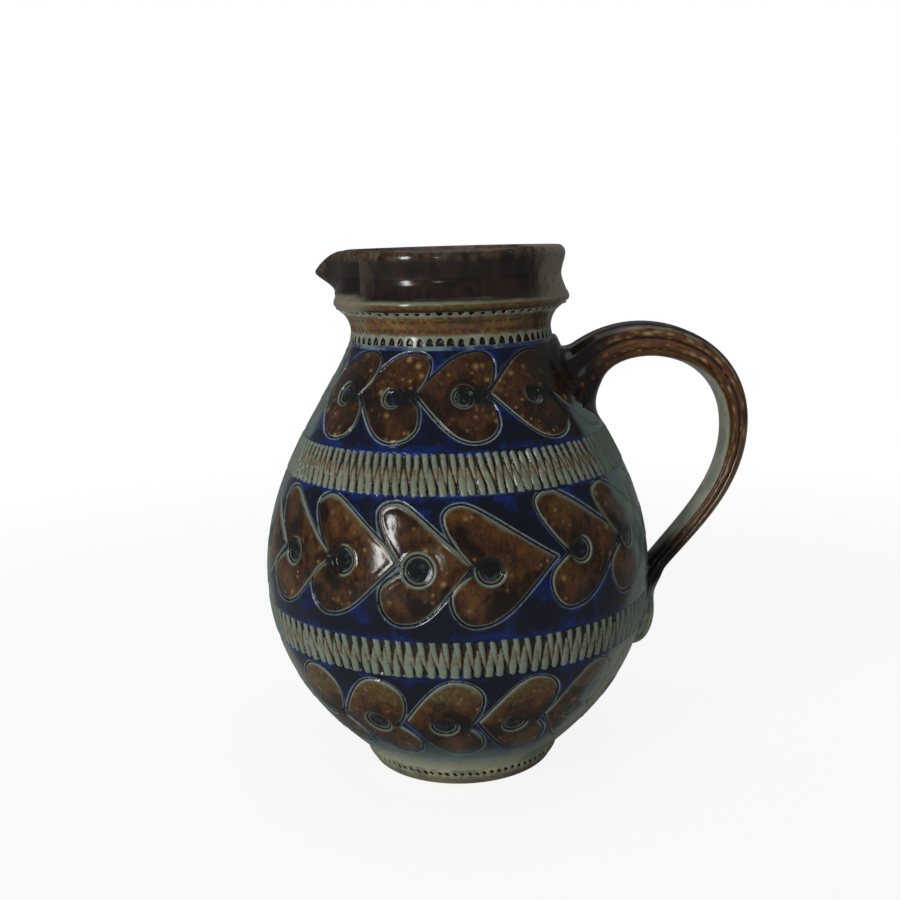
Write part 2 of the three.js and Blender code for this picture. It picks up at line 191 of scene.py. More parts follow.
def keepValues(piece, **kept):   # a number for each point, under a name that a glaze can read
    for name, values in kept.items():
        held = piece.data.attributes.get(name) or piece.data.attributes.new(name, "FLOAT", "POINT")
        held.data.foreach_set("value", np.asarray(values, np.float32))


def readValue(piece, name):
    values = np.zeros(len(piece.data.vertices), np.float32)
    piece.data.attributes[name].data.foreach_get("value", values)
    return values


def readPoints(piece):
    place = np.zeros(len(piece.data.vertices) * 3, np.float32)
    piece.data.vertices.foreach_get("co", place)
    return place.reshape(-1, 3).astype(float) / mm


def readFaces(mesh):   # the point at each corner, and each face's first corner
    corner = np.zeros(len(mesh.loops), np.int32)
    mesh.loops.foreach_get("vertex_index", corner)
    starts = np.zeros(len(mesh.polygons), np.int32)
    mesh.polygons.foreach_get("loop_start", starts)
    return corner, starts


def movePoints(piece, place):
    piece.data.vertices.foreach_set("co", (place * mm).astype(np.float32).ravel())
    piece.data.update()


def turnOnWheel(piece, columns):   # the profile goes once round the Z axis
    pickOnly(piece)
    turned = piece.modifiers.new("turned", "SCREW")
    turned.axis = "Z"
    turned.angle = fullTurn
    turned.steps = turned.render_steps = columns
    turned.use_merge_vertices = True
    turned.merge_threshold = 0.1 * mm * mm
    bpy.ops.object.modifier_apply(modifier="turned")
    tidyShell(piece)


def tidyShell(piece):
    pickOnly(piece)
    bpy.ops.object.mode_set(mode="EDIT")
    bpy.ops.mesh.select_all(action="SELECT")
    bpy.ops.mesh.remove_doubles(threshold=0.001 * mm)
    bpy.ops.mesh.delete_loose(use_verts=True, use_edges=True, use_faces=False)
    bpy.ops.mesh.normals_make_consistent(inside=False)
    bpy.ops.object.mode_set(mode="OBJECT")


def press(piece, name, depth, share):   # pushes points along their normals; a negative depth cuts in
    group = piece.vertex_groups.new(name=name)
    fineness = 4000
    level = np.round(np.clip(share, 0, 1) * fineness).astype(int)
    touched = np.flatnonzero(level)
    order = touched[np.argsort(level[touched], kind="stable")]
    for ids in np.split(order, np.flatnonzero(np.diff(level[order])) + 1):
        if len(ids):
            group.add(ids.tolist(), level[ids[0]] / fineness, "REPLACE")
    pickOnly(piece)
    pressed = piece.modifiers.new(name, "DISPLACE")
    pressed.mid_level = 0
    pressed.strength = depth * mm
    pressed.vertex_group = name
    bpy.ops.object.modifier_apply(modifier=name)
    piece.vertex_groups.clear()


def layBakeMap(piece, wrapLength, strips):
    # an unrolled map: the way round is cut into strips that lie above each other
    turn = np.mod(turnOf(readPoints(piece)), fullTurn)
    run = readValue(piece, "run")
    corner, starts = readFaces(piece.data)
    sizes = np.diff(np.append(starts, len(corner)))
    first = np.repeat(corner[starts], sizes)
    # each face takes the turn and run nearest to its own first corner, so none spans a seam
    u = turn[corner]
    u = u + fullTurn * np.round((turn[first] - u) / fullTurn)
    v = run[corner]
    v = v + wrapLength * np.round((run[first] - v) / wrapLength)
    low = np.minimum.reduceat(u, starts)
    strip = np.floor(np.clip(low, 0, fullTurn - 1e-4) / fullTurn * strips + 1e-4)
    strip = np.repeat(strip, sizes)
    lowRun = np.minimum.reduceat(v, starts)
    v = v - wrapLength * np.repeat(np.floor(lowRun / wrapLength + 1e-4), sizes)
    gap = 0.006
    across = gap + (1 - 2 * gap) * np.clip(u / fullTurn * strips - strip, 0, 1)
    tall = (1 - gap * (strips + 1)) / strips
    up = gap + strip * (tall + gap) + tall * np.clip(v / wrapLength, 0, 1)
    bakeMap = piece.data.uv_layers.new(name="OFBake")
    bakeMap.data.foreach_set("uv", np.column_stack([across, up]).astype(np.float32).ravel())


def finishPiece(piece, node, glazes, slots=None):
    for glaze in glazes:
        piece.data.materials.append(glaze)
    if slots is not None:
        piece.data.polygons.foreach_set("material_index", np.asarray(slots, np.int32))
    pickOnly(piece)
    bpy.ops.object.shade_smooth_by_angle(angle=math.radians(48))
    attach(piece, "root")
    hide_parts(node)
    print(piece.name, "made:", len(piece.data.polygons), "faces")
    return piece


# Shader maths

class Wire:   # one value in a node tree; arithmetic on it adds Math nodes
    def __init__(self, tree, socket):
        self.tree = tree
        self.socket = socket

    def feed(self, slot):
        self.tree.links.new(self.socket, slot)

    def math(self, kind, *values):
        node = self.tree.nodes.new("ShaderNodeMath")
        node.operation = kind
        for slot, value in zip(node.inputs, values):
            if isinstance(value, Wire):
                value.feed(slot)
            else:
                slot.default_value = value
        return Wire(self.tree, node.outputs[0])

    def __add__(self, other):
        return self.math("ADD", self, other)

    def __radd__(self, other):
        return self.math("ADD", other, self)

    def __sub__(self, other):
        return self.math("SUBTRACT", self, other)

    def __rsub__(self, other):
        return self.math("SUBTRACT", other, self)

    def __mul__(self, other):
        return self.math("MULTIPLY", self, other)

    def __rmul__(self, other):
        return self.math("MULTIPLY", other, self)

    def __abs__(self):
        return self.math("ABSOLUTE", self)

    def most(self, other):
        return self.math("MAXIMUM", self, other)


class Glaze:   # a material, with short words for the nodes that glazes need
    def __init__(self, name):
        self.material = bpy.data.materials.new(name)
        self.material.use_nodes = True
        self.tree = self.material.node_tree
        self.tree.nodes.clear()

    def add(self, kind, settings=None, sockets=None, out=0):
        node = self.tree.nodes.new(kind)
        for key, value in (settings or {}).items():
            setattr(node, key, value)
        for key, value in (sockets or {}).items():
            if isinstance(value, Wire):
                value.feed(node.inputs[key])
            else:
                node.inputs[key].default_value = value
        return Wire(self.tree, node.outputs[out]) if node.outputs else None

    def value(self, name):   # a value kept on the mesh
        return self.add("ShaderNodeAttribute", {"attribute_name": name}, out="Fac")

    def place(self, stretch=(1, 1, 1)):   # Object coordinates, squeezed along an axis if asked
        where = self.add("ShaderNodeTexCoord", out="Object")
        if stretch == (1, 1, 1):
            return where
        return self.add("ShaderNodeMapping", {}, {"Vector": where, "Scale": stretch})

    def height(self):   # in mm above the table
        return self.add("ShaderNodeSeparateXYZ", {}, {"Vector": self.place()}, out="Z") * 1000.0

    def noise(self, size, detail=3.0, rough=0.55, stretch=(1, 1, 1), where=None):   # size in mm
        return self.add("ShaderNodeTexNoise", {}, {
            "Vector": where or self.place(stretch), "Scale": 1000.0 / size, "Detail": detail,
            "Roughness": rough}, out="Fac")

    def patches(self, low, high, *noise, **more):   # noise with its middle range spread over 0 to 1
        return self.fade(self.noise(*noise, **more), low, high)

    def dots(self, size, low, high, rarity=0.0, where=None):   # soft round spots in cells of that size
        cells = {"Vector": where or self.place(), "Scale": 1000.0 / size}
        reach = self.add("ShaderNodeTexVoronoi", {}, cells, out="Distance")
        tint = self.add("ShaderNodeTexVoronoi", {}, cells, out="Color")
        pick = self.add("ShaderNodeSeparateColor", {}, {"Color": tint}, out="Red")
        return self.fade(reach, high, low) * self.fade(pick, rarity, rarity + 0.15)

    def fade(self, value, low, high):   # 0 at low, 1 at high, either way up
        return self.add("ShaderNodeMapRange", {"interpolation_type": "SMOOTHSTEP"}, {
            "Value": value, "From Min": low, "From Max": high, "To Min": 0.0, "To Max": 1.0})

    def near(self, value, centre, width):   # 1 at the centre, 0 from width on
        return self.fade(abs(value - centre), width, 0.0)

    def blend(self, share, first, second):
        return self.add("ShaderNodeMix", {"data_type": "RGBA", "clamp_factor": True}, {
            0: share, 6: self.tint(first), 7: self.tint(second)}, out=2)

    def coats(self, colour, *layers):   # each layer is its share and its colour, the last one on top
        for share, coat in layers:
            colour = self.blend(share, colour, coat)
        return colour

    def tint(self, colour):   # a colour that was made here, or the name of a hue
        return colour if isinstance(colour, Wire) else (*hues[colour], 1.0)

    def finish(self, colour, roughness, relief):   # relief is a height in mm
        skin = self.add("ShaderNodeBump", {}, {"Strength": 1.0, "Distance": mm, "Height": relief})
        surface = self.add("ShaderNodeBsdfPrincipled", {}, {
            "Base Color": colour, "Roughness": roughness, "Normal": skin, "IOR": 1.5})
        self.add("ShaderNodeOutputMaterial", {}, {"Surface": surface})
        return self.material


# Glazes

hues = {   # linear colours of the fired glaze
    "ash": (0.33, 0.37, 0.27), "ashPale": (0.5, 0.53, 0.4), "footPale": (0.74, 0.77, 0.53),
    "edgePale": (0.4, 0.48, 0.42), "crust": (0.13, 0.08, 0.045), "crustPale": (0.34, 0.3, 0.21),
    "ashGreen": (0.24, 0.3, 0.22), "ashBlue": (0.2, 0.29, 0.28), "mist": (0.35, 0.45, 0.36),
    "teal": (0.2, 0.34, 0.38), "slate": (0.05, 0.075, 0.09), "cobalt": (0.005, 0.03, 0.21),
    "inkBlue": (0.006, 0.009, 0.026), "line": (0.01, 0.012, 0.013), "black": (0.012, 0.009, 0.009),
    "burnt": (0.018, 0.009, 0.005), "umber": (0.03, 0.015, 0.008), "brown": (0.036, 0.016, 0.006),
    "plum": (0.05, 0.024, 0.014), "iron": (0.042, 0.022, 0.016), "warmIron": (0.055, 0.026, 0.015),
    "russet": (0.17, 0.055, 0.02), "rust": (0.18, 0.068, 0.018), "tan": (0.13, 0.07, 0.04),
    "sand": (0.26, 0.23, 0.17), "creaseHighlightTint": (0.16, 0.13, 0.1), "olive": (0.18, 0.15, 0.045),
    "gold": (0.2, 0.115, 0.03), "amber": (0.29, 0.1, 0.005), "honey": (0.42, 0.24, 0.012),
    "ochre": (0.44, 0.28, 0.12), "cream": (0.58, 0.46, 0.3), "insideBrown": (0.11, 0.085, 0.06),
    "insideGrey": (0.2, 0.19, 0.15), "clayDark": (0.2, 0.14, 0.09), "clay": (0.34, 0.27, 0.19),
}


def orangePeel(g, depth=0.012, swell=0.05):   # the fine pitted skin that salt gives
    return depth * g.noise(1.5, 2.0) + swell * g.noise(5.5, 2.0)


def brownGlaze(g, panel, edge, above, eye):   # iron wash over ash: mottled, with pale spots where it broke
    dark = panel["dark"]
    rare = 1.0 - panel["spots"]
    grain = g.patches(0.34, 0.6, 2.2, 4.0, 0.7, (1, 1, 0.6))
    warmth = g.noise(9.0, 2.0)
    broad = g.patches(0.46 + dark, 0.6 + dark, 15.0)
    # darker near the lower edges, round the eye and in broad patches
    darkening = (g.fade(edge, 8.0, 1.5) * g.fade(above, 0.4, -0.4) + g.patches(0.5, 0.62, 20.0, 2.0)
              + g.fade(eye, 13.0, 6.0) * 0.7)
    colour = g.coats(
        g.blend(g.patches(0.34 + dark, 0.64 + dark, 3.0, 4.0, 0.7, (1, 1, 0.5)), "plum", "rust"),
        (broad * grain * 0.8, g.blend(g.fade(warmth, 0.42, 0.6), "gold", "olive")),
        (darkening * 0.8, "burnt"))
    if "moss" in panel:
        moss = g.fade(g.height() + (warmth - 0.5) * 22.0, panel["moss"], panel["moss"] + 8.0)
        colour = g.coats(
            colour,
            (moss * (0.3 + 0.6 * grain), "olive"),
            (moss * g.patches(0.52, 0.66, 1.7, 2.0) * 0.55, "ochre"))
    spotted = g.patches(0.44, 0.56, 15.0, 2.0)
    return g.coats(
        colour,
        (g.patches(0.48, 0.68, 1.3, 2.0, 0.6) * 0.45, "black"),
        (spotted * grain * 0.5, "rust"),
        (g.dots(5.0, 0.1, 0.5, rare) * spotted * 0.7, "gold"),
        (g.dots(5.0, 0.05, 0.3, rare) * spotted, "ochre"),
        (g.dots(3.1, 0.08, 0.34, rare + 0.1) * spotted * 0.8, "ochre"))


def heartGlaze(name, panel):
    g = Glaze(name)
    edge, eye, ring, above = [g.value(kept) for kept in ("edge", "eye", "ring", "above")]
    height = g.height()
    drift = g.noise(11.0)
    fine = g.noise(2.2)
    patch = g.patches(0.4, 0.6, 24.0, 2.0)
    nearBand = (g.fade(height, panel["low"] + 3.0, panel["low"] + 0.4)
                .most(g.fade(height, panel["high"] - 2.8, panel["high"] - 0.4)))
    blue = nearBand * 0.45 + g.fade(edge, -2.6, -0.8) * 0.4 + (drift - 0.5) * 3.4 + (fine - 0.5) * 1.4
    ground = g.coats(
        g.blend(g.fade(blue, 0.05, 1.0), "inkBlue", "cobalt"),
        (g.fade(fine, 0.55, 0.75) * nearBand * 0.4, "slate"))
    # where the wash ran down from a carved edge, the ash under it shows
    wide = 0.2 + (0.5 + patch * 1.5) * panel["halo"] * g.fade(above + (drift - 0.5) * 1.5, -0.2, 0.8)
    halo = g.fade(edge + (fine - 0.5) * 1.2, wide + 0.3 + 1.2 * panel["halo"], wide * 0.5)
    washed = g.coats(
        brownGlaze(g, panel, edge, above, eye),
        (halo * (0.45 + 0.3 * panel["halo"] + 0.2 * patch), "ashGreen"))
    colour = g.blend(g.fade(edge, -0.1, 0.25), ground, washed)
    if "ashBelow" in panel:
        ash = g.fade(height + (drift - 0.5) * 12.0, panel["ashBelow"] + 8.0, panel["ashBelow"] - 6.0)
        nearFoot = g.blend(g.fade(height + (fine - 0.5) * 8.0, 20.0, 9.0),
                           g.blend(g.fade(fine, 0.4, 0.6), "ashGreen", "teal"), "footPale")
        colour = g.blend(ash * g.fade(edge, 3.5, -1.0).most(0.5), colour, nearFoot)
    flash = g.fade(g.value("flash") + (drift - 0.5) * 0.7, 0.3, 0.8)
    veil = flash * (0.9 - 0.5 * g.fade(edge, 0.5, 2.5) * g.fade(flash, 1.0, 0.7))
    # paler ash low on the handle side: thicker flash, and partly a painted light for the brighter lower
    # right
    thickAshAndLight = g.fade(g.value("flash"), 0.82, 1.0) * g.fade(height, 85.0, 60.0)
    covered = 1.0 - 0.65 * flash
    # the pale lines beside the cut are ash glaze at the burrs, strengthened as a painted highlight on the
    # upper or the lower edges, as lit says
    broken = g.fade(fine + drift, 0.55, 0.95) * (1.0 - 0.7 * flash)
    lit = above * panel["lit"]
    outer = g.near(edge, -0.75, 0.45) * broken * (0.3 + 0.7 * g.fade(lit, 0.6, -0.5))
    inner = g.near(edge, 0.55, 0.3) * (0.3 - 0.2 * flash + 0.7 * broken)
    # the eye: a pale ring round a pool where the thumb pressed it clean, else a dark hollow
    shown = ring * panel["ring"]
    pool = g.blend(g.patches(0.46, 0.62, 2.6, 4.0) * g.fade(ring, 0.6, 1.0), "line", "slate")
    rootWashed = g.coats(
        g.blend(g.fade(drift, 0.42, 0.66), "black", "umber"),
        (g.fade(fine, 0.55, 0.7) * 0.6, "inkBlue"),
        (g.dots(6.0, 0.05, 0.2, 0.6), "rust"))
    colour = g.coats(
        colour,
        (veil, g.blend(g.fade(drift + height * 0.002, 0.5, 0.75), "mist", "ashBlue")),
        (thickAshAndLight * 0.8, "ashPale"),
        (outer, g.blend(g.fade(fine, 0.36, 0.56), "teal", "edgePale")),
        (inner * (0.25 + 0.75 * g.fade(lit, -0.6, 0.5)), "edgePale"),
        (g.near(edge, -0.05, 0.4) * (1.0 - 0.5 * flash), "line"),
        (g.fade(g.value("pit"), 4.8, 2.4) * 0.95 * covered, "line"),
        (g.near(eye, 5.6, 0.7) * shown, "ashGreen"),
        (g.near(eye, 5.3, 0.35) * shown, "edgePale"),
        (g.fade(eye + (fine - 0.5) * 1.4, 5.1, 3.9) * covered, pool),
        (g.near(eye, 4.1, 0.4) * g.fade(ring, 0.5, 1.0) * 0.6, "ash"),
        (g.near(eye, 4.75, 0.45) * g.fade(ring, 0.1, 0.5), "line"),
        (g.value("smear"), rootWashed))
    return g.finish(colour, 0.05 + 0.17 * g.noise(5.0), orangePeel(g, 0.035, 0.06))


def chatterGlaze(name):
    g = Glaze(name)
    drift = g.noise(16.0)
    fine = g.noise(2.5)
    ragged = g.noise(1.1, 2.0)
    leaf = g.value("leaf") + (ragged - 0.5) * 0.35
    border = g.value("border")
    middle = g.fade(border, 3.6, 6.4)
    lowerBand = g.fade(g.height(), 110.0, 90.0)
    pale = g.coats(
        g.blend(g.fade(drift, 0.4, 0.65), "ash", "ashGreen"),
        (g.patches(0.4, 0.7, 1.4) * 0.4, "ashPale"),
        (lowerBand * 0.4, "mist"),
        (middle * g.fade(fine, 0.44, 0.62) * 0.45, "gold"),
        (g.near(leaf, 0.1, 0.28) * (0.25 + 0.65 * middle) * g.fade(fine, 0.3, 0.5), "rust"))
    blue = g.blend(g.fade(drift, 0.42, 0.56), "cobalt", "inkBlue")
    gap = g.coats(
        g.blend(g.fade(fine, 0.44, 0.6), "umber", "black"),
        (g.fade(ragged, 0.3, 0.7) * 0.14, "ashGreen"),
        (middle * g.fade(fine, 0.66, 0.44), "rust"),
        (g.fade(border + (fine - 0.5) * 2.0, 1.5, 0.2), blue))
    flash = g.fade(g.value("flash") + (drift - 0.5) * 0.8, 0.25, 0.8)
    colour = g.coats(
        g.blend(g.fade(leaf, 0.1, -0.16), pale, gap),
        (g.near(leaf, -0.1, 0.4) * g.fade(border, 1.8, 0.4) * 0.8, "teal"),
        (g.fade(border + (ragged - 0.5) * 0.8, 0.4, -0.3), blue),
        (flash * 0.7, g.blend(g.fade(fine, 0.4, 0.6), "ashBlue", "ashGreen")))
    return g.finish(colour, 0.12 + 0.16 * g.noise(4.0), orangePeel(g, 0.02))


def neckGlaze(name, neck):
    g = Glaze(name)
    cut = g.value("cut")
    height = g.height()
    drift = g.noise(9.0)
    streak = g.noise(3.2, 4.0, 0.6, (1, 1, 0.6))
    low, high, blueBelow = neck["bandLow"], neck["bandHigh"], neck["blueBelow"]
    middle = (low + high) / 2
    dabs = g.near(height, middle - 1.9, 1.6).most(g.near(height, middle + 1.7, 1.1))   # in two rows
    amber = g.coats(
        g.blend(g.fade(streak, 0.4, 0.56), "rust", "amber"),
        (g.fade(drift, 0.44, 0.6) * g.patches(0.4, 0.56, 1.8) * 0.7, "honey"),
        (g.patches(0.38, 0.5, 2.0, 2.0, 0.5, (1, 1, 0.6)) * dabs * 0.95, "brown"),
        (g.patches(0.48, 0.6, 14.0, 2.0) * 0.45, "umber"))
    ragged = height + (streak - 0.5) * 3.0
    band = g.fade(ragged, low - 0.6, low + 0.6) * g.fade(ragged, high + 0.6, high - 0.6)
    colour = g.coats(
        g.blend(g.fade(drift, 0.4, 0.7), "ash", "ashPale"),
        (band, amber),
        (g.fade(height + (drift - 0.5) * 1.5, blueBelow + 0.7, blueBelow - 0.5),
         g.blend(g.fade(drift, 0.36, 0.54), "teal", "cobalt")),
        (g.fade(g.value("trail") + (streak - 0.5) * 0.7, 0.35, 0.8) * 0.7, "ashGreen"),
        (g.near(cut, 0.1, 0.12), "ashPale"),
        (g.fade(cut, 0.2, 0.5), "umber"),
        (g.fade(cut, 0.6, 0.9) * g.fade(height, blueBelow + 0.6, blueBelow + 1.8), "line"))
    return g.finish(colour, 0.1 + 0.18 * g.noise(4.0), orangePeel(g, 0.014))


def collarGlaze(name, collar):
    g = Glaze(name)
    level = g.height() + g.value("pulled")   # the height before the lip was pulled down
    drift = g.noise(12.0)
    streak = g.noise(4.0, 4.0, 0.6, (1, 1, 0.35))
    mottle = g.noise(2.6, 4.0)
    rimLow, beadHigh, beadLow = collar["rimBandLow"], collar["beadHigh"], collar["beadLow"]
    dark = g.coats(
        g.blend(g.fade(streak, 0.3, 0.7), "black", "iron"),
        (g.fade(drift, 0.5, 0.66) * 0.7, "warmIron"),
        (g.dots(9.0, 0.03, 0.12, 0.7) * 0.7, "amber"),
        # the flute beside the lip is painted black: painted shade in its hollow
        (g.value("hollow"), "black"))
    rim = g.coats(
        g.blend(g.fade(streak, 0.34, 0.66), "umber", "tan"),
        (g.fade(mottle, 0.4, 0.7) * g.fade(drift, 0.4, 0.6) * 0.55, "sand"),
        (g.fade(mottle, 0.62, 0.74) * 0.35, "ochre"))
    below = g.coats(
        g.blend(g.fade(mottle, 0.4, 0.6), "rust", "olive"),
        (g.fade(level, collar["umberBelow"] + 0.7, collar["umberBelow"]), "umber"))
    ragged = level + (drift - 0.5) * 0.9
    # the bead: paler on top, ash glaze and partly a painted highlight along its upper edge
    bead = g.coats(
        g.blend(g.fade(drift, 0.45, 0.62) * 0.5, "ash", "olive"),
        (g.fade(ragged, beadLow + 0.4, beadLow - 0.4), below))
    ashSide = g.fade(g.value("ashSide") + (streak - 0.5) * 0.8, 0.1, 0.85)
    colour = g.coats(
        dark,
        (g.fade(level + (streak - 0.5) * 2.4, rimLow - 1.2, rimLow + 1.6), rim),
        (g.fade(ragged, beadHigh + 0.8, beadHigh - 0.8), bead),
        (ashSide * 0.9, g.blend(g.fade(mottle, 0.24, 0.46), "crust", "crustPale")),
        # a painted highlight on the strip just past the crease
        (g.value("crease") * (0.2 + 0.2 * g.fade(streak, 0.4, 0.6)), "creaseHighlightTint"),
        (g.value("inner"), insideColour(g)))
    return g.finish(colour, 0.08 + 0.14 * g.noise(5.0), orangePeel(g))


def insideColour(g):
    return g.coats(
        g.blend(g.patches(0.4, 0.65, 18.0, 4.0), "insideBrown", "insideGrey"),
        (g.dots(5.0, 0.08, 0.26, 0.5) * 0.6, "brown"))


def insideGlaze(name):
    g = Glaze(name)
    throwing = g.add("ShaderNodeTexWave", {"wave_type": "RINGS", "rings_direction": "Z"},
                     {"Vector": g.place(), "Scale": 60.0, "Distortion": 1.5, "Detail": 1.0}, out="Fac")
    return g.finish(insideColour(g), 0.24 + 0.14 * g.noise(6.0), orangePeel(g, 0.02) + 0.02 * throwing)


def footGlaze(name):
    g = Glaze(name)
    height = g.height()
    drift = g.noise(9.0, 4.0)
    bare = g.fade(height, 0.9, 0.15)
    colour = g.coats(
        g.blend(g.fade(drift, 0.35, 0.65), "footPale", "ash"),
        (g.fade(height + (drift - 0.5) * 9.0, 5.5, 2.5) * 0.55, "gold"),
        (g.patches(0.46, 0.64, 2.0, 3.0, 0.7) * 0.5, "olive"),
        (g.patches(0.54, 0.68, 3.2, 4.0, 0.7) * 0.4, "rust"),
        (g.fade(height + (drift - 0.5) * 8.0, 8.0, 13.0) * 0.35, "teal"),
        (g.fade(g.value("cut"), 0.2, 0.6), "umber"),
        (bare, g.blend(g.patches(0.3, 0.7, 4.0, 5.0, 0.7), "clayDark", "clay")))
    return g.finish(colour, 0.24 + 0.5 * bare + 0.12 * g.noise(4.0), orangePeel(g, 0.012))


def handleGlaze(name, strap):
    g = Glaze(name)
    along = g.value("way") * mm
    girth = g.value("girth") * mm
    # spots and streaks are drawn out along the strap
    drawn, dabbed = [g.add("ShaderNodeCombineXYZ", {}, {"X": along * share, "Y": girth})
                     for share in (0.35, 0.6)]
    drift = g.noise(12.0)
    streak = g.noise(4.0, 4.0, 0.6, where=drawn)
    rise = g.value("rise") + (drift - 0.5) * 0.14
    bead, innerRise = strap["beadRise"], strap["innerRise"]
    onRidge = g.near(rise, strap["ochreRise"], 0.3).most(g.near(rise, 0.42, 0.24))
    side = g.coats(
        g.blend(g.fade(streak, 0.3, 0.5), "brown", "russet"),
        (g.patches(0.46, 0.6, 5.0, where=drawn) * 0.7, "gold"),
        (g.near(rise, strap["grooveRise"], 0.15) * 0.9, "black"),
        (g.near(rise, strap["lowGrooveRise"], 0.13) * 0.8, "umber"),
        (g.dots(3.2, 0.16, 0.65, 0.15, dabbed) * onRidge * 0.7, "ochre"),
        (g.dots(3.2, 0.1, 0.42, 0.15, dabbed) * onRidge * 0.9, "cream"),
        (g.dots(2.4, 0.1, 0.42, 0.4, dabbed) * 0.7, "ochre"))
    green = g.near(rise, 0.5, 0.5) * g.fade(streak, 0.35, 0.55)
    root = g.coats(
        g.blend(g.fade(drift, 0.5, 0.7), "black", "umber"),
        (g.dots(5.0, 0.05, 0.32, 0.35) * 0.9, "amber"))
    colour = g.coats(
        side,
        (g.fade(rise, bead + 0.02, bead + 0.16), g.blend(g.patches(0.45, 0.7, 8.0), "inkBlue", "slate")),
        (g.near(rise, bead, 0.12) * g.fade(streak, 0.4, 0.6) * 0.8, "ash"),
        (g.fade(rise + 0.3 * g.fade(along, 0.07, 0.03), innerRise + 0.04, innerRise - 0.1),
         g.blend(g.fade(drift, 0.4, 0.6), "ash", "ashPale")),
        (g.value("lower") * green * 0.7, "olive"),
        (g.value("tailDark"), "black"),
        (g.value("toRoot"), root),
        (g.value("toTail"), g.blend(g.fade(drift, 0.35, 0.55), "ashBlue", "ashPale")))
    return g.finish(colour, 0.08 + 0.14 * g.noise(5.0), orangePeel(g))


# Carving

heart = {   # a point beyond boxAcross or boxUp from its eye doesn't belong to a heart
    "tipRise": 2.0, "pull": 6.0, "curl": 0.55, "edgeShare": 0.42, "ring": 4.7,
    "boxAcross": 38, "boxUp": 36, "far": 60.0, "keptTo": 20.0,
}


def heartLine(row, tip):   # x runs towards the tip, y up the clay, the eye is the origin
    def half(side, shape):
        notch = np.array([-row["notch"], 0.0])
        end = np.array([-shape["lobe"], side * shape["end"]])
        top = np.array([-shape["top"], side * shape["height"]])
        point = np.array([tip, heart["tipRise"]])
        elbow = point + (top - point) * heart["edgeShare"]
        pull, curl = heart["pull"], heart["curl"]
        inner = bezier([notch, notch + (-pull / 2, side * pull / 2), end - (0, side * pull), end], 14)
        lobe = bezier([end, (end[0], end[1] + (top[1] - end[1]) * curl),
                       (top[0] + (end[0] - top[0]) * curl, top[1]), top], 14)
        edge = bezier([top, top + (shape["full"], 0), elbow + (0, side * shape["bulge"]), point], 24)
        return np.vstack([inner, lobe[1:], edge[1:]])
    return np.vstack([half(1, row["up"]), half(-1, row["down"])[-2:0:-1]])


def distanceTo(shape, x, y):
    # distance to a closed line, above 0 inside it, and 1 where that line lies straight up, -1 down
    best = np.full(len(x), np.inf)
    rise = np.zeros(len(x))
    inside = np.zeros(len(x), bool)
    for a, b in zip(shape, np.roll(shape, -1, axis=0)):
        way = b - a
        share = np.clip(((x - a[0]) * way[0] + (y - a[1]) * way[1]) / (way @ way), 0, 1)
        over = a[1] + share * way[1] - y
        reach = np.hypot(x - a[0] - share * way[0], over)
        rise = np.where(reach < best, over, rise)
        best = np.minimum(best, reach)
        if a[1] != b[1]:
            crosses = (a[1] > y) != (b[1] > y)
            inside ^= crosses & (x < a[0] + (y - a[1]) * way[0] / way[1])
    return np.where(inside, best, -best), rise / np.maximum(best, 0.01)


def eyeTurns(row):   # the hearts at the front as they were spaced by hand, the others evenly
    front = row["frontTurns"]
    others = row["count"] - len(front)
    step = (360 + front[0] - front[-1]) / (others + 1)
    return np.radians(front + [front[-1] + step * (k + 1) for k in range(others)])


def eyeByChance():   # the same five values as an eye in heartRows has
    return (chance.uniform(4.2, 5.4), chance.uniform(0.4, 1.0), chance.uniform(-120, 0),
            chance.uniform(0.3, 1), chance.normal(0, 0.6))


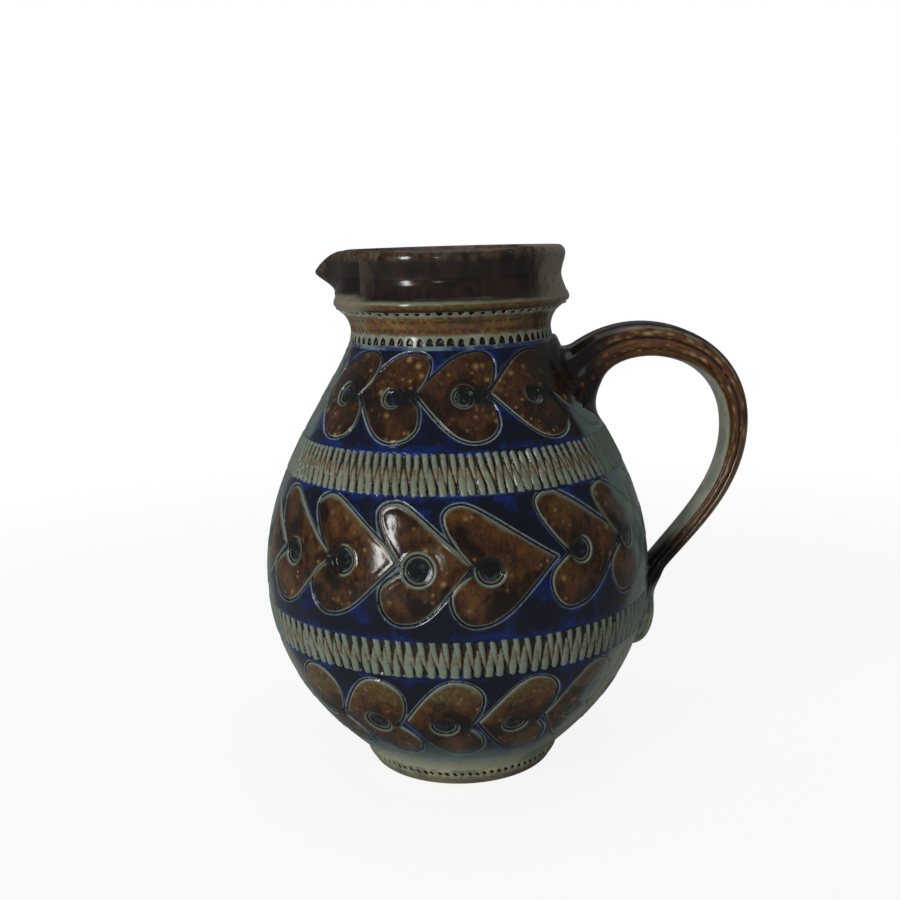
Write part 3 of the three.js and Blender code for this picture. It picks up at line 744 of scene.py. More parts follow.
def heartField(turn, height, row):
    # for each point: the distances to the nearest carved line and eye, how far the eye's ring shows,
    # the distance to the hollow between eye and notch, and whether the line lies above (1) or below (-1)
    count, side, far = row["count"], row["way"], heart["far"]
    turns = eyeTurns(row)
    eyeRadius = np.interp(row["eyeWay"], outlineLength, outline[:, 0])
    radius = (radiusAt(height) + eyeRadius) / 2
    depth = np.full((count, len(turn)), -far)
    rise = np.zeros((count, len(turn)))
    eye = np.full(len(turn), far)
    pit = np.full(len(turn), far)
    ring = np.ones(len(turn))
    for k in range(count):
        made = row["eyes"][k] if k < len(row["eyes"]) else eyeByChance()
        size, share, clearest, hollow, lift = made
        gap = np.mod(side * (turns[(k + side) % count] - turns[k]), fullTurn)
        shape = heartLine(row, min(row["tip"], gap * eyeRadius - row["notch"]))
        lean = chance.normal(0, 0.012)
        across = turnFrom(turn, turns[k]) * radius * side
        up = lengthAt(height) - row["eyeWay"] - lift
        close = np.flatnonzero((np.abs(across) < heart["boxAcross"]) & (np.abs(up) < heart["boxUp"]))
        x = across[close] * math.cos(lean) + up[close] * math.sin(lean)
        y = up[close] * math.cos(lean) - across[close] * math.sin(lean)
        depth[k, close], rise[k, close] = distanceTo(shape, x, y)
        fromPit = np.hypot(x - np.clip(x, -row["notch"], -1.0), y) + 4.0 * (1 - hollow)
        pit[close] = np.minimum(pit[close], fromPit)
        reach = np.hypot(x, y) * heart["ring"] / size
        hidden = 0.8 - 2.2 * share
        turned = np.cos(np.arctan2(y, x) - math.radians(clearest))
        ring[close] = np.where(reach < eye[close], easeIn(turned, hidden, hidden + 0.5), ring[close])
        eye[close] = np.minimum(eye[close], reach)
    nearest = np.abs(depth).argmin(axis=0)
    every = np.arange(len(turn))
    edge = -np.abs(depth[nearest, every])
    above = rise[nearest, every]
    for k in range(count):   # a tip lies under the lobes of the next heart
        over = depth[(k + side) % count]
        seen = (depth[k] > 0) & (over <= 0)
        edge[seen] = np.minimum(depth[k], -over)[seen]
        above[seen] = rise[k][seen]
    most = heart["keptTo"]
    return np.clip(edge, -most, most), np.clip(eye, 0, most), ring, np.clip(pit, 0, most), above


def nearestMark(turn, count, shift):   # of the marks round the pot: how many pitches off, and which
    phase = turn / fullTurn * count + shift
    nearest = np.round(phase)
    return phase - nearest, np.mod(nearest, count).astype(int)


def leafField(turn, height, band):
    # distance to the edge of the nearest leaf between the gouge cuts, above 0 inside it;
    # the leaves stand in two rows, each row pointing between the other's
    pitch = fullTurn * radiusAt(height) / band["count"]
    share = (height - band["low"]) / (band["high"] - band["low"])
    best = np.full(len(turn), -9.0)
    for row in band["rows"]:
        uneven = chance.normal(0, 1, (band["count"] + 1, 4))
        off, which = nearestMark(turn, band["count"], row["shift"] + row["lean"] * (share - 0.5))
        across = off + 0.05 * uneven[which, 0] + 0.1 * uneven[which, 3] * (share - 0.5)
        run = (share - row["tip"]) / (row["end"] - row["tip"]) * (1 + 0.03 * uneven[which, 1])
        leaf = np.interp(run, (-0.2, 0.0, 0.1, 0.3, 0.5, 0.75, 0.97, 1.03, 1.1),
                         (-0.5, 0.0, 0.26, 0.64, 0.88, 1.0, row["blunt"], 0.0, -1.0))
        half = row["width"] * (1 + 0.07 * uneven[which, 2]) * pitch / 2
        best = np.maximum(best, half * leaf - np.abs(across) * pitch)
    return np.clip(best, -3, 3)


punch = {   # how wide the edges of a mark slope, and how unevenly the marks are set
    "slope": 0.35, "endSlope": 0.3, "aside": 0.04, "upward": 0.12, "widthSpread": 0.07,
}


def punchField(turn, height, row):   # how deep a row of small punched marks goes, from 0 to 1
    uneven = chance.normal(0, 1, (row["count"] + 1, 3))
    off, which = nearestMark(turn, row["count"], row.get("lean", 0) * (height - row["low"]))
    across = (off + punch["aside"] * uneven[which, 0]) * fullTurn * radiusAt(height) / row["count"]
    rise = (height - row["low"] - punch["upward"] * uneven[which, 1]) / row["tall"]
    inside = np.clip(rise, 0, 1)
    if row["form"] == "arch":
        width = np.sqrt(np.clip(1 - inside ** 2, 0, 1))
    elif row["form"] == "wedge":
        width = inside ** 0.9
    else:
        width = np.sqrt(np.clip(1 - (2 * inside - 1) ** 2, 0, 1))
    width = width * row["width"] / 2 * (1 + punch["widthSpread"] * uneven[which, 2]) + 1e-6
    sides = np.clip((width - np.abs(across)) / punch["slope"], 0, 1)
    ends = np.clip(np.minimum(rise, 1 - rise) * row["tall"] / punch["endSlope"] + 0.3, 0, 1)
    return np.where((rise > -0.1) & (rise < 1.1), sides * ends, 0)


# Throwing: the belly in five rings, with the neck, foot and collar on them

rings = {   # heights of the seams, columns round the pot, distance between rows
    "bowl": {"low": footTop, "high": 61.8, "columns": 720, "row": 0.68},
    "lowerChatter": {"low": 61.8, "high": 78.1, "columns": 1250, "row": 0.42},
    "middle": {"low": 78.1, "high": 129.4, "columns": 960, "row": 0.56},
    "upperChatter": {"low": 129.4, "high": 145.4, "columns": 1170, "row": 0.42},
    "top": {"low": 145.4, "high": neckSeam, "columns": 900, "row": 0.5},
}


def innerPoint(height):
    out, up = leanAt(height)
    return np.array([radiusAt(height) - pot["wall"] * out, height - pot["wall"] * up])


def innerLine(low, high, steps):   # the inner face, from high down to low
    return np.array([innerPoint(h) for h in np.linspace(high, low, steps)])


def floorLine():   # from the wall of the bowl over the rounded corner to the middle of the floor
    start = innerPoint(pot["cornerTop"])
    corner = bezier([start, (start[0] - pot["cornerWidth"] / 2, pot["floor"] + 0.55),
                     (start[0] - pot["cornerWidth"], pot["floor"])], 8)
    flat = [(corner[-1][0] * share, pot["floor"]) for share in (0.8, 0.6, 0.4, 0.2, 0.0)]
    return np.vstack([corner, flat])


def ringProfile(spec, kind):   # the closed profile, and how many of its first points face outwards
    low, high = spec["low"], spec["high"]
    within = (outline[:, 1] >= low - 1e-6) & (outline[:, 1] <= high + 1e-6)
    outer = evenly(np.vstack([[radiusAt(low), low], outline[within], [radiusAt(high), high]]), spec["row"])
    if kind == "bowl":
        base = [(0.0, footTop)] + [(outer[0][0] * share, footTop) for share in (0.25, 0.5, 0.75, 0.92)]
        rest = [innerLine(pot["cornerTop"] + 4.0, high, 12), floorLine(), base]
    elif kind == "top":
        rest = [[(pot["seamBore"], neckSeam)], innerLine(low, neckSeam - 3.0, 8)]
    else:
        rest = [innerLine(low, high, 6)]
    return np.vstack([outer] + rest), len(outer)


def throw(name, profile, columns, strips, outward=None):   # its first points, up to outward, face out
    lengths = closedLengths(profile)
    piece = drawProfile(name, profile)
    keepValues(piece, run=lengths[:-1])
    if outward:
        keepValues(piece, inner=np.arange(len(profile)) >= outward)
    turnOnWheel(piece, columns)
    layBakeMap(piece, lengths[-1], strips)
    return piece


def throwRing(name, kind):
    spec = rings[kind]
    profile, outward = ringProfile(spec, kind)
    around = fullTurn * radiusAt((spec["low"] + spec["high"]) / 2)
    along = closedLengths(profile)[-1]
    strips = max(round(math.sqrt(around / along)), 1)
    while spec["columns"] % strips:
        strips += 1
    return throw(name, profile, spec["columns"], strips, outward)


def outerFace(piece):   # which points face outwards, with their turns and heights
    face = np.flatnonzero(readValue(piece, "inner") < 0.5)
    place = readPoints(piece)[face]
    return face, turnOf(place), place[:, 2]


def facesInside(piece):   # 1 for faces of the inner wall, 0 outside
    inner = readValue(piece, "inner") > 0.5
    corner, starts = readFaces(piece.data)
    return np.logical_or.reduceat(inner[corner], starts).astype(np.int32)


def spread(piece, face, values):   # values for the points that face outwards, 0 elsewhere
    whole = np.zeros(len(piece.data.vertices))
    whole[face] = values
    return whole


def keepOutside(piece, face, **kept):
    keepValues(piece, **{name: spread(piece, face, values) for name, values in kept.items()})


def offSeams(height, kind, width):   # 0 at the seams of that ring, 1 from width on
    low, high = rings[kind]["low"], rings[kind]["high"]
    return easeIn(height, low, low + width) * easeIn(height, high, high - width)


rootSmear = {"height": 170.0, "turn": math.pi / 2, "wide": 21.0, "tall": 15.0, "raise": 1.6}
rootWash = {"height": 173.0, "turn": math.pi / 2, "wide": 38.0, "tall": 19.0}   # dark glaze round the root
washRun = {"turn": 51.5, "wide": 2.4, "from": 166.0, "to": 160.0}   # a streak: degrees, then heights


def smearField(turn, height, smear, soften):   # 1 under the handle's end, 0 away from it
    across = turnFrom(turn, smear["turn"]) * radiusAt(smear["height"])
    up = lengthAt(height) - lengthAt(smear["height"])
    reach = np.hypot(across / smear["wide"], up / smear["tall"])
    return easeIn(reach, 1 + soften, 1 - soften)


# where the fire blew ash on, by height: degrees that it reaches round from the handle, and from the lip
flashReach = {"height": (10, 45, 90, 115, 155, 163, 175), "fromHandle": (58, 50, 31, 33, 38, 30, 5),
              "fromLip": (44, 36, 22, 22, 24, 24, 22)}


def flashField(turn, height):
    fromHandle = np.degrees(np.abs(turn - math.pi / 2))
    fromLip = np.degrees(np.abs(turn + math.pi / 2))
    handleReach = np.interp(height, flashReach["height"], flashReach["fromHandle"])
    lipReach = np.interp(height, flashReach["height"], flashReach["fromLip"])
    return np.maximum(easeIn(fromHandle, handleReach + 12, handleReach - 12),
                      0.8 * easeIn(fromLip, lipReach + 10, lipReach - 10))


# Way up the clay from the foot seam to the eyes, sizes from an eye outwards. Each listed eye has
# its ring's size, how much of the ring shows, where it is clearest in degrees from the tip's side,
# how deep the hollow to the notch is, and how far the heart was set above the row.
heartRows = {
    "bowl": {
        "count": 16, "way": -1, "frontTurns": [-51, -28.5, -5.5, 17.5, 40],
        "eyeWay": 40, "tip": 15, "notch": 8.8,
        "up": {"lobe": 15, "end": 15, "top": 4.5, "height": 24, "full": 6, "bulge": 5},
        "down": {"lobe": 15.3, "end": 12, "top": 6, "height": 22, "full": 6, "bulge": 4},
        "eyes": [(4.4, 0.6, -40, 0.7, 0), (5.0, 0.9, -60, 0.5, -0.5), (4.8, 0.6, -90, 0.7, 0.4),
                 (4.6, 0.7, -60, 0.6, 0), (4.4, 0.6, -40, 0.7, 0)]},
    "middle": {
        "count": 16, "way": 1, "frontTurns": [-53.5, -33, -10.5, 8.8, 36.5, 58.5],
        "eyeWay": 109, "tip": 27, "notch": 5.5,
        "up": {"lobe": 17, "end": 19.5, "top": 9.5, "height": 24.6, "full": 6, "bulge": 0},
        "down": {"lobe": 15, "end": 10.5, "top": 6, "height": 21, "full": 12, "bulge": 1},
        "eyes": [(4.7, 0.8, -45, 0.6, 0), (4.9, 0.5, 0, 1.0, 1), (5.5, 1.1, 0, 0.2, -0.5),
                 (5.1, 0.45, -100, 0.9, -1), (4.4, 0.65, -40, 0.6, 2), (4.2, 0.6, -90, 0.8, 1)]},
    "top": {
        "count": 12, "way": -1, "frontTurns": [-54, -26.5, 4.5, 37],
        "eyeWay": 174, "tip": 19, "notch": 8,
        "up": {"lobe": 14, "end": 13.5, "top": 7, "height": 18.5, "full": 10, "bulge": 4},
        "down": {"lobe": 12.5, "end": 10.6, "top": 3.2, "height": 18.7, "full": 8, "bulge": 3},
        "eyes": [(4.4, 0.6, -20, 0.8, 0.5), (3.9, 0.5, -35, 1.0, 0.5), (3.9, 0.5, -35, 1.0, 0.6),
                 (3.6, 0.4, -50, 0.9, 0)]},
}

# How each row of hearts is glazed: its seams, how spotted it is, how much ash shows at the cuts, how dark
# it is, and on which edges the pale lines get a painted highlight, the upper (1) or the lower (-1).
panels = {
    "bowl": {"low": footTop - 4, "high": rings["bowl"]["high"], "ashBelow": 21.0, "moss": 46.0,
             "spots": 0.4, "halo": 0.6, "dark": 0.02, "lit": 1, "ring": 0.6},
    "middle": {"low": rings["middle"]["low"], "high": rings["middle"]["high"],
               "spots": 0.45, "halo": 0.75, "dark": 0.0, "lit": 0.2, "ring": 0.9},
    "top": {"low": rings["top"]["low"], "high": neckSeam + 3,
            "spots": 0.75, "halo": 0.0, "dark": 0.14, "lit": -1, "ring": 0.7},
}

carving = {   # depths and widths of the cuts, and where their raised edges lie, counted from cut or eye
    "line": 0.7, "lineWidth": 0.42, "burr": 0.22, "burrAt": 1.1, "burrWidth": 0.45, "innerBurrWidth": 0.6,
    "eyeDepth": 0.9, "poolEdge": (4.6, 3.4), "openFrom": (4.0, 4.8), "eyeBurrAt": 5.8, "pillow": 0.18,
    "raiseMost": 2.5, "cutMost": 2.0,
}


def makeHeartRing(name, kind, glaze, inside):
    piece = throwRing(name, kind)
    face, turn, height = outerFace(piece)
    edge, eye, ring, pit, above = heartField(turn, height, heartRows[kind])
    smear = wash = np.zeros(len(face))
    if kind == "top":
        smear = smearField(turn, height, rootSmear, 0.25)
        wash = np.maximum(smear, smearField(turn, height, rootWash, 0.2))
    edge = edge - smear * (edge + 8.0)
    eye = eye + smear * heart["keptTo"]
    margin = offSeams(height, kind, 1.0) * (1 - wash)
    offEye = easeIn(eye, *carving["openFrom"])
    line = np.maximum(bell(edge, 0.0, carving["lineWidth"]) * offEye, ring * bell(eye, heart["ring"], 0.5))
    cut = (carving["line"] * line + carving["eyeDepth"] * easeIn(eye, *carving["poolEdge"])) * margin
    burr = (bell(edge, -carving["burrAt"], carving["burrWidth"])
            + 0.8 * bell(edge, carving["burrAt"], carving["innerBurrWidth"]))
    lift = carving["burr"] * np.maximum(burr * offEye, bell(eye, carving["eyeBurrAt"], 0.55))
    lift = lift + carving["pillow"] * easeIn(edge, 0.4, 4.5) * offEye
    lift = lift * margin + rootSmear["raise"] * smear
    if kind == "top":
        aside = np.degrees(turn) - washRun["turn"] + 4.0 * easeIn(height, 152.0, 162.0)
        streak = bell(aside, 0.0, washRun["wide"]) * easeIn(height, washRun["from"], washRun["to"])
        wash = np.maximum(wash, streak)
    keepOutside(piece, face, edge=edge, eye=eye, ring=ring, pit=pit, above=above, smear=wash,
                flash=flashField(turn, height))
    most, deepest = carving["raiseMost"], carving["cutMost"]
    press(piece, "raised", most, spread(piece, face, lift / most))
    press(piece, "carved", -deepest, spread(piece, face, cut / deepest))
    return finishPiece(piece, "belly", [glaze, inside], facesInside(piece))


chatterBands = {
    "lowerChatter": {"low": 62.5, "high": 77.4, "count": 114, "depth": 0.9, "raise": 0.3, "rows": [
        {"tip": 0.22, "end": 1.0, "shift": 0.0, "lean": 0.5, "width": 0.51, "blunt": 0.85},
        {"tip": 0.8, "end": 0.0, "shift": 0.5, "lean": 0.0, "width": 0.69, "blunt": 0.8}]},
    "upperChatter": {"low": 130.1, "high": 144.7, "count": 120, "depth": 0.9, "raise": 0.3, "rows": [
        {"tip": 0.28, "end": 1.0, "shift": 0.0, "lean": 0.6, "width": 0.6, "blunt": 0.85},
        {"tip": 0.7, "end": 0.0, "shift": 0.5, "lean": 0.6, "width": 0.78, "blunt": 0.75}]},
}


def makeChatterRing(name, kind, glaze, inside):
    band = chatterBands[kind]
    piece = throwRing(name, kind)
    face, turn, height = outerFace(piece)
    leaf = leafField(turn, height, band)
    border = np.minimum(height - band["low"], band["high"] - height)
    margin = offSeams(height, kind, 0.5)
    cut = easeIn(leaf, 0.2, -0.5) * easeIn(border, -0.2, 0.9)
    lift = easeIn(leaf, -0.1, 0.9) * easeIn(border, -0.4, 0.4)
    keepOutside(piece, face, leaf=leaf, border=border, flash=flashField(turn, height))
    press(piece, "raised", band["raise"], spread(piece, face, lift * margin))
    press(piece, "carved", -band["depth"], spread(piece, face, cut * margin))
    return finishPiece(piece, "belly", [glaze, inside], facesInside(piece))


neck = {
    "columns": 880, "row": 0.36, "bandLow": 186.6, "bandHigh": 193.8, "blueBelow": 182.6,
    "depth": 0.8, "raise": 0.3, "swells": ((195.0, 1.1), (184.2, 1.6)),
    "upperMarks": {"count": 68, "low": 194.3, "tall": 1.4, "width": 2.9, "form": "wedge"},
    "lowerMarks": {"count": 64, "low": 182.7, "tall": 2.9, "width": 2.9, "form": "arch"},
    "trails": (-63.0, -59.0, -55.5, -52.5, 58.0, 62.0, 65.5, 69.0), "trailWidth": 0.9,   # in degrees
}


def makeNeck(glaze, inside):
    between = (outline[:, 1] > neckSeam) & (outline[:, 1] < collarSeam)
    line = np.vstack([[radiusAt(neckSeam), neckSeam], outline[between], [pot["neckTopRadius"], collarSeam]])
    outer = evenly(line, neck["row"])
    waist = neckSeam + pot["waistRise"]
    inner = bezier([(pot["collarBore"], collarSeam), (pot["waistBore"] - 0.4, waist + 1.0),
                    (pot["seamBore"], neckSeam)], 9)
    piece = throw("jugNeck", np.vstack([outer, inner]), neck["columns"], 4, len(outer))
    face, turn, height = outerFace(piece)
    cut = np.maximum(punchField(turn, height, neck["upperMarks"]),
                     punchField(turn, height, neck["lowerMarks"]))
    # glaze that ran down in fine lines where the lip and the handle begin
    degrees = np.degrees(turn) + 0.9 * np.sin(height * 1.1)
    trail = sum(bell(degrees, at, neck["trailWidth"]) for at in neck["trails"])
    keepOutside(piece, face, cut=cut, trail=trail)
    swell = sum(bell(height, at, width) for at, width in neck["swells"])
    press(piece, "raised", 1.0, spread(piece, face, neck["raise"] * swell * (1 - cut)))
    press(piece, "punched", -neck["depth"], spread(piece, face, cut))
    return finishPiece(piece, "neck", [glaze, inside], facesInside(piece))


foot = {
    "columns": 520, "row": 0.42, "depth": 0.7,
    "dots": {"count": 84, "low": 4.7, "tall": 2.0, "width": 1.8, "form": "oval", "lean": 0.12},
    "wireCentre": (-70, -25), "wireTurns": 1.9, "wireDepth": 0.25,   # arcs that the cutting wire left
}


def makeFoot(glaze):
    base, radius = pot["footBase"], pot["footRadius"]
    side = softCurve([(base, pot["footRounding"]), ((base + radius) / 2 + pot["footBulge"], footTop / 2),
                      (radius, footTop)], 30)
    edge = bezier([(base - pot["footRounding"], 0.0), (base, 0.0), (base, pot["footRounding"])], 6)
    top = [(radius * share, footTop) for share in (0.75, 0.4, 0.0)]
    under = [((base - pot["footRounding"]) * share, 0.0) for share in np.linspace(0, 0.98, 40)]
    profile = np.vstack([edge, evenly(side, foot["row"])[1:], top, under])
    piece = throw("jugFoot", profile, foot["columns"], 2)
    place = readPoints(piece)
    height = place[:, 2]
    out = np.hypot(place[:, 0], place[:, 1])
    band = (height > 1.0) & (height < footTop - 0.6) & (out > base - 1)
    cut = np.where(band, punchField(turnOf(place), height, foot["dots"]), 0)
    keepValues(piece, cut=cut)
    press(piece, "punched", -foot["depth"], cut)
    wire = np.hypot(place[:, 0] - foot["wireCentre"][0], place[:, 1] - foot["wireCentre"][1])
    waves = 0.5 + 0.5 * np.sin(wire * foot["wireTurns"])
    press(piece, "wireMarks", -foot["wireDepth"], np.where((height < 0.01) & (out < base - 2.5), waves, 0))
    return finishPiece(piece, "foot_band", [glaze])


collar = {   # radii, rises over its seam and thicknesses, and turns counted from the tip of the lip
    "ridge": 49.6, "ridgeRise": 2.8, "undercut": 1.4, "waist": 46.4, "waistRise": 12.5, "hollow": 0.5,
    "wall": 5.2, "lip": 48.1, "lipDrop": 3.1, "lipThickness": 4.9, "rise": 23.6, "columns": 560,
    "outerRow": 0.6, "innerRow": 1.1, "reach": 9.2, "drop": 8.0, "ridgeFade": 1.8, "pinch": 2.4,
    "creaseAt": 35.4, "slimmest": 36.0, "lineDepth": 0.35,
    "beakTurn": math.radians(24), "creaseTurn": 41.0,   # the crease's in degrees
    # heights above the table between which the crease fades in and out, and where the colours change
    "creaseFoot": (200.5, 204.5), "creaseHead": (218.5, 214.5),
    "rimBandLow": 215.6, "beadHigh": 200.0, "beadLow": 198.9, "umberBelow": 196.5, "beadLine": 201.6,
}


def collarLine():   # the outer face with the rim, and the inner face
    base = collarSeam
    ridge = base + collar["ridgeRise"]
    waist = base + collar["waistRise"]
    rim = base + collar["rise"]
    low = rim - collar["lipDrop"]
    mouth = collar["lip"] - collar["lipThickness"]
    bore = collar["waist"] - collar["wall"]
    outside = softCurve([
        (collar["ridge"] - collar["undercut"], base), (collar["ridge"], ridge),
        ((collar["ridge"] + collar["waist"]) / 2 - collar["hollow"], (ridge + waist) / 2),
        (collar["waist"], waist), (collar["lip"], low), (collar["lip"] - collar["lipThickness"] / 2, rim),
        (mouth, low)], 16)
    inside = bezier([(mouth, low), (bore - 0.2, low - 4.0), (bore + 0.2, waist - 2.0),
                     (pot["collarBore"], base)], 24)
    return evenly(outside, collar["outerRow"]), evenly(inside, collar["innerRow"])[1:]


def makeCollar(glaze):   # the pouring lip is pulled out of the turned collar and down
    outer, inner = collarLine()
    piece = throw("jugCollar", np.vstack([outer, inner]), collar["columns"], 2)
    place = readPoints(piece)
    run = readValue(piece, "run")
    ridge = collarSeam + collar["ridgeRise"]
    rim = collarSeam + collar["rise"]
    radius = np.hypot(place[:, 0], place[:, 1])
    height = place[:, 2]
    spin = np.arctan2(-place[:, 1], -place[:, 0])   # counted from the tip of the lip
    degrees = np.abs(np.degrees(spin))
    share = np.clip((height - ridge) / (rim - ridge), 0, 1)
    beak = np.cos(math.pi / 2 * np.minimum(np.abs(spin) / collar["beakTurn"], 1))
    beak = np.clip(beak, 0, 1) ** 2
    fade = np.clip(1 - np.abs(height - ridge) / (2 * collar["ridgeRise"]), 0, 1)
    out = radius + beak * (collar["reach"] * share ** 2 - collar["ridgeFade"] * fade)
    down = collar["drop"] * beak ** 1.6 * share ** 0.8
    # the crease stands upright, so it lies at a smaller angle where the collar is slimmer
    crease = collar["creaseTurn"]
    atRadius = np.degrees(np.arccos(collar["creaseAt"] / np.maximum(radius, collar["slimmest"])))
    side = degrees - atRadius + crease
    upright = easeIn(height, *collar["creaseFoot"]) * easeIn(height, *collar["creaseHead"])
    flute = easeIn(side, 22.0, 37.0) * easeIn(side, crease + 0.6, crease - 0.6) * upright
    out = out - collar["pinch"] * flute
    movePoints(piece, np.column_stack([-out * np.cos(spin), -out * np.sin(spin), height - down]))
    toRim = lengthsAlong(outer)[np.argmax(outer[:, 1])]
    byHandle = easeIn(180 - degrees, 58.0, 22.0)
    byLip = easeIn(height, 204.0, 200.5) * easeIn(side, 56.0, 30.0)
    # the strip just past the crease carries a painted highlight
    creaseHighlight = easeIn(side, crease, crease + 1.6) * easeIn(side, 56.0, crease + 1.0) * upright
    # hollow marks the flute, which the glaze paints black as painted shade
    keepValues(piece, inner=easeIn(run, toRim + 7.0, toRim + 13.0), pulled=down, hollow=flute,
               crease=creaseHighlight, ashSide=np.clip(byHandle + byLip, 0, 1))
    grooves = bell(run, 0.9, 0.5) + 0.5 * bell(height, collar["beadLine"], 0.5) * (run < toRim)
    press(piece, "turnedLines", -collar["lineDepth"], np.clip(grooves, 0, 1) * (run > 0.05))
    finishPiece(piece, "rim_collar", [glaze])
    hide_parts("pouring_lip")
    return piece


# Handle: one strap, pressed onto the shoulder and thumbed onto the belly

strap = {
    "rootHeight": neckSeam - 13.4, "standoff": 4.3, "rootLean": math.radians(54.6), "rootDepth": 9.0,
    "grip": (119.2, 142.5), "startPull": 27.1, "archPull": 39.2, "dropPull": 26.3, "tailPull": 21.3,
    "tailHeight": 82.2, "tailLean": math.radians(50.9),
    "topThickness": 17.4, "tailThickness": 7.8, "topWidth": 22.0, "tailWidth": 16.0, "taper": 1.6,
    "sides": 112, "spacing": 0.75, "sink": 2.6,
    # the flare at the root: how far along it ends, over what length it opens, and what it adds
    "flareEnd": 24.0, "flareOver": 38.0, "flareWide": 13.0, "flareThick": 7.0, "flareLift": 6.0,
    # how wide clay is smeared out at both ends, and how far along the root's part and the low part lie
    "rootSmear": 7.5, "tailSmear": 2.5, "rootPart": 40, "lowPart": 100,
    "beadRise": 0.68, "grooveRise": 0.15, "ochreRise": -0.18, "lowGrooveRise": -0.5, "innerRise": -0.66,
    "tailAsh": (76.0, 68.0), "tailDark": (99.0, 88.0), "greenFrom": (135.0, 115.0),   # in height
}

# the thumbed end: height, distance of the line from the belly, half width, half thickness
tailStations = [
    (78.6, 2.4, 9.6, 4.3), (74.6, 0.9, 11.2, 3.7), (71.0, 0.4, 12.2, 3.5), (66.0, 0.8, 12.9, 4.1),
    (61.5, 1.4, 13.0, 4.6), (56.0, 1.5, 12.6, 4.7), (51.5, 1.0, 10.6, 4.0), (48.0, 0.0, 6.5, 2.4),
    (46.6, -0.8, 3.0, 1.2),
]


def smoothed(values, width):   # a running mean with soft ends, width in points
    reach = np.arange(-3 * width, 3 * width + 1)
    weights = np.exp(-(reach / width) ** 2)
    weights = weights / weights.sum()
    padded = np.concatenate([2 * values[0] - values[3 * width:0:-1], values,
                             2 * values[-1] - values[-2:-3 * width - 2:-1]])
    return np.convolve(padded, weights, mode="valid")


def strapEnd(height, lean):   # where the free strap meets the pot, and its direction there
    start = np.array([radiusAt(height) + strap["standoff"], height])
    return start, np.array([math.cos(lean), math.sin(lean)])


def strapLine():   # x, z, half width and half thickness along the strap, and the way along it
    root, rootWay = strapEnd(strap["rootHeight"], strap["rootLean"])
    tail, tailWay = strapEnd(strap["tailHeight"], strap["tailLean"])
    grip = np.array(strap["grip"])
    inward = root - rootWay * strap["rootDepth"]
    arch = bezier([root, root + rootWay * strap["startPull"], grip + (0, strap["archPull"]), grip], 200)
    drop = bezier([grip, grip - (0, strap["dropPull"]), tail + tailWay * strap["tailPull"], tail], 200)
    free = evenly(np.vstack([inward, arch, drop[1:]]), strap["spacing"])
    way = lengthsAlong(free) - strap["rootDepth"]
    share = np.clip(way / way[-1], 0, 1)
    thinner = strap["topThickness"] - strap["tailThickness"]
    thickness = strap["tailThickness"] + thinner * (1 - share) ** strap["taper"]
    width = strap["topWidth"] + (strap["tailWidth"] - strap["topWidth"]) * share
    line = np.column_stack([free, width / 2, thickness / 2])
    end = np.array([[radiusAt(h) + off * leanAt(h)[0], h + off * leanAt(h)[1], w, t]
                    for h, off, w, t in tailStations])
    line = np.vstack([line, softCurve(np.vstack([line[-1], end]), 24)[1:]])
    lengths = lengthsAlong(line[:, :2])
    places = np.arange(0, lengths[-1], strap["spacing"])
    line = np.column_stack([np.interp(places, lengths, line[:, k]) for k in range(4)])
    return np.column_stack([smoothed(line[:, k], 3) for k in range(4)]), places - strap["rootDepth"]


def strapSection():   # across and rise of each point, both from -1 to 1, with the grooves along the sides
    angle = fullTurn * (np.arange(strap["sides"]) + 0.5) / strap["sides"]
    high = np.abs(np.sin(angle))
    wide = np.abs(np.cos(angle))
    rise = np.where(np.sin(angle) > 0, high ** 0.85, -high ** 0.6)
    across = np.sign(np.cos(angle)) * wide ** 0.62
    dent = 0.085 * bell(rise, strap["grooveRise"], 0.11) + 0.075 * bell(rise, strap["lowGrooveRise"], 0.1)
    swell = 0.05 * bell(rise, strap["beadRise"], 0.1) + 0.04 * bell(rise, strap["ochreRise"], 0.12)
    across = across * (1 + swell - dent)
    return across, rise - 0.1 * bell(across, 0.0, 0.32) * (rise > 0.5)


def drawStrap(flat, stations):   # a straight bar with that section and so many rows of points
    piece = drawProfile("jugHandle", flat)
    keepValues(piece, side=np.arange(len(flat)))
    pickOnly(piece)
    drawn = piece.modifiers.new("drawnOut", "SCREW")
    drawn.axis = "Y"
    drawn.angle = 0
    drawn.screw_offset = stations * mm
    drawn.steps = drawn.render_steps = stations - 1
    bpy.ops.object.modifier_apply(modifier="drawnOut")
    bpy.ops.object.mode_set(mode="EDIT")
    bpy.ops.mesh.select_all(action="DESELECT")
    bpy.ops.mesh.select_mode(type="EDGE")
    bpy.ops.mesh.select_non_manifold()
    bpy.ops.mesh.edge_face_add()
    bpy.ops.object.mode_set(mode="OBJECT")
    row = np.abs(readPoints(piece)[:, 1])
    row = np.clip(np.round(row * (stations - 1) / row.max()), 0, stations - 1).astype(int)
    return piece, row, np.round(readValue(piece, "side")).astype(int)


def potDistance(place):   # distance out from the pot's face, and the way out
    height = np.clip(place[:, 2], footTop, collarSeam)
    radius = np.hypot(place[:, 0], place[:, 1])
    out, up = leanAt(height)
    beyond = (radius - radiusAt(height)) * out
    normal = np.column_stack([out * place[:, 0] / radius, out * place[:, 1] / radius, up])
    return beyond, normal


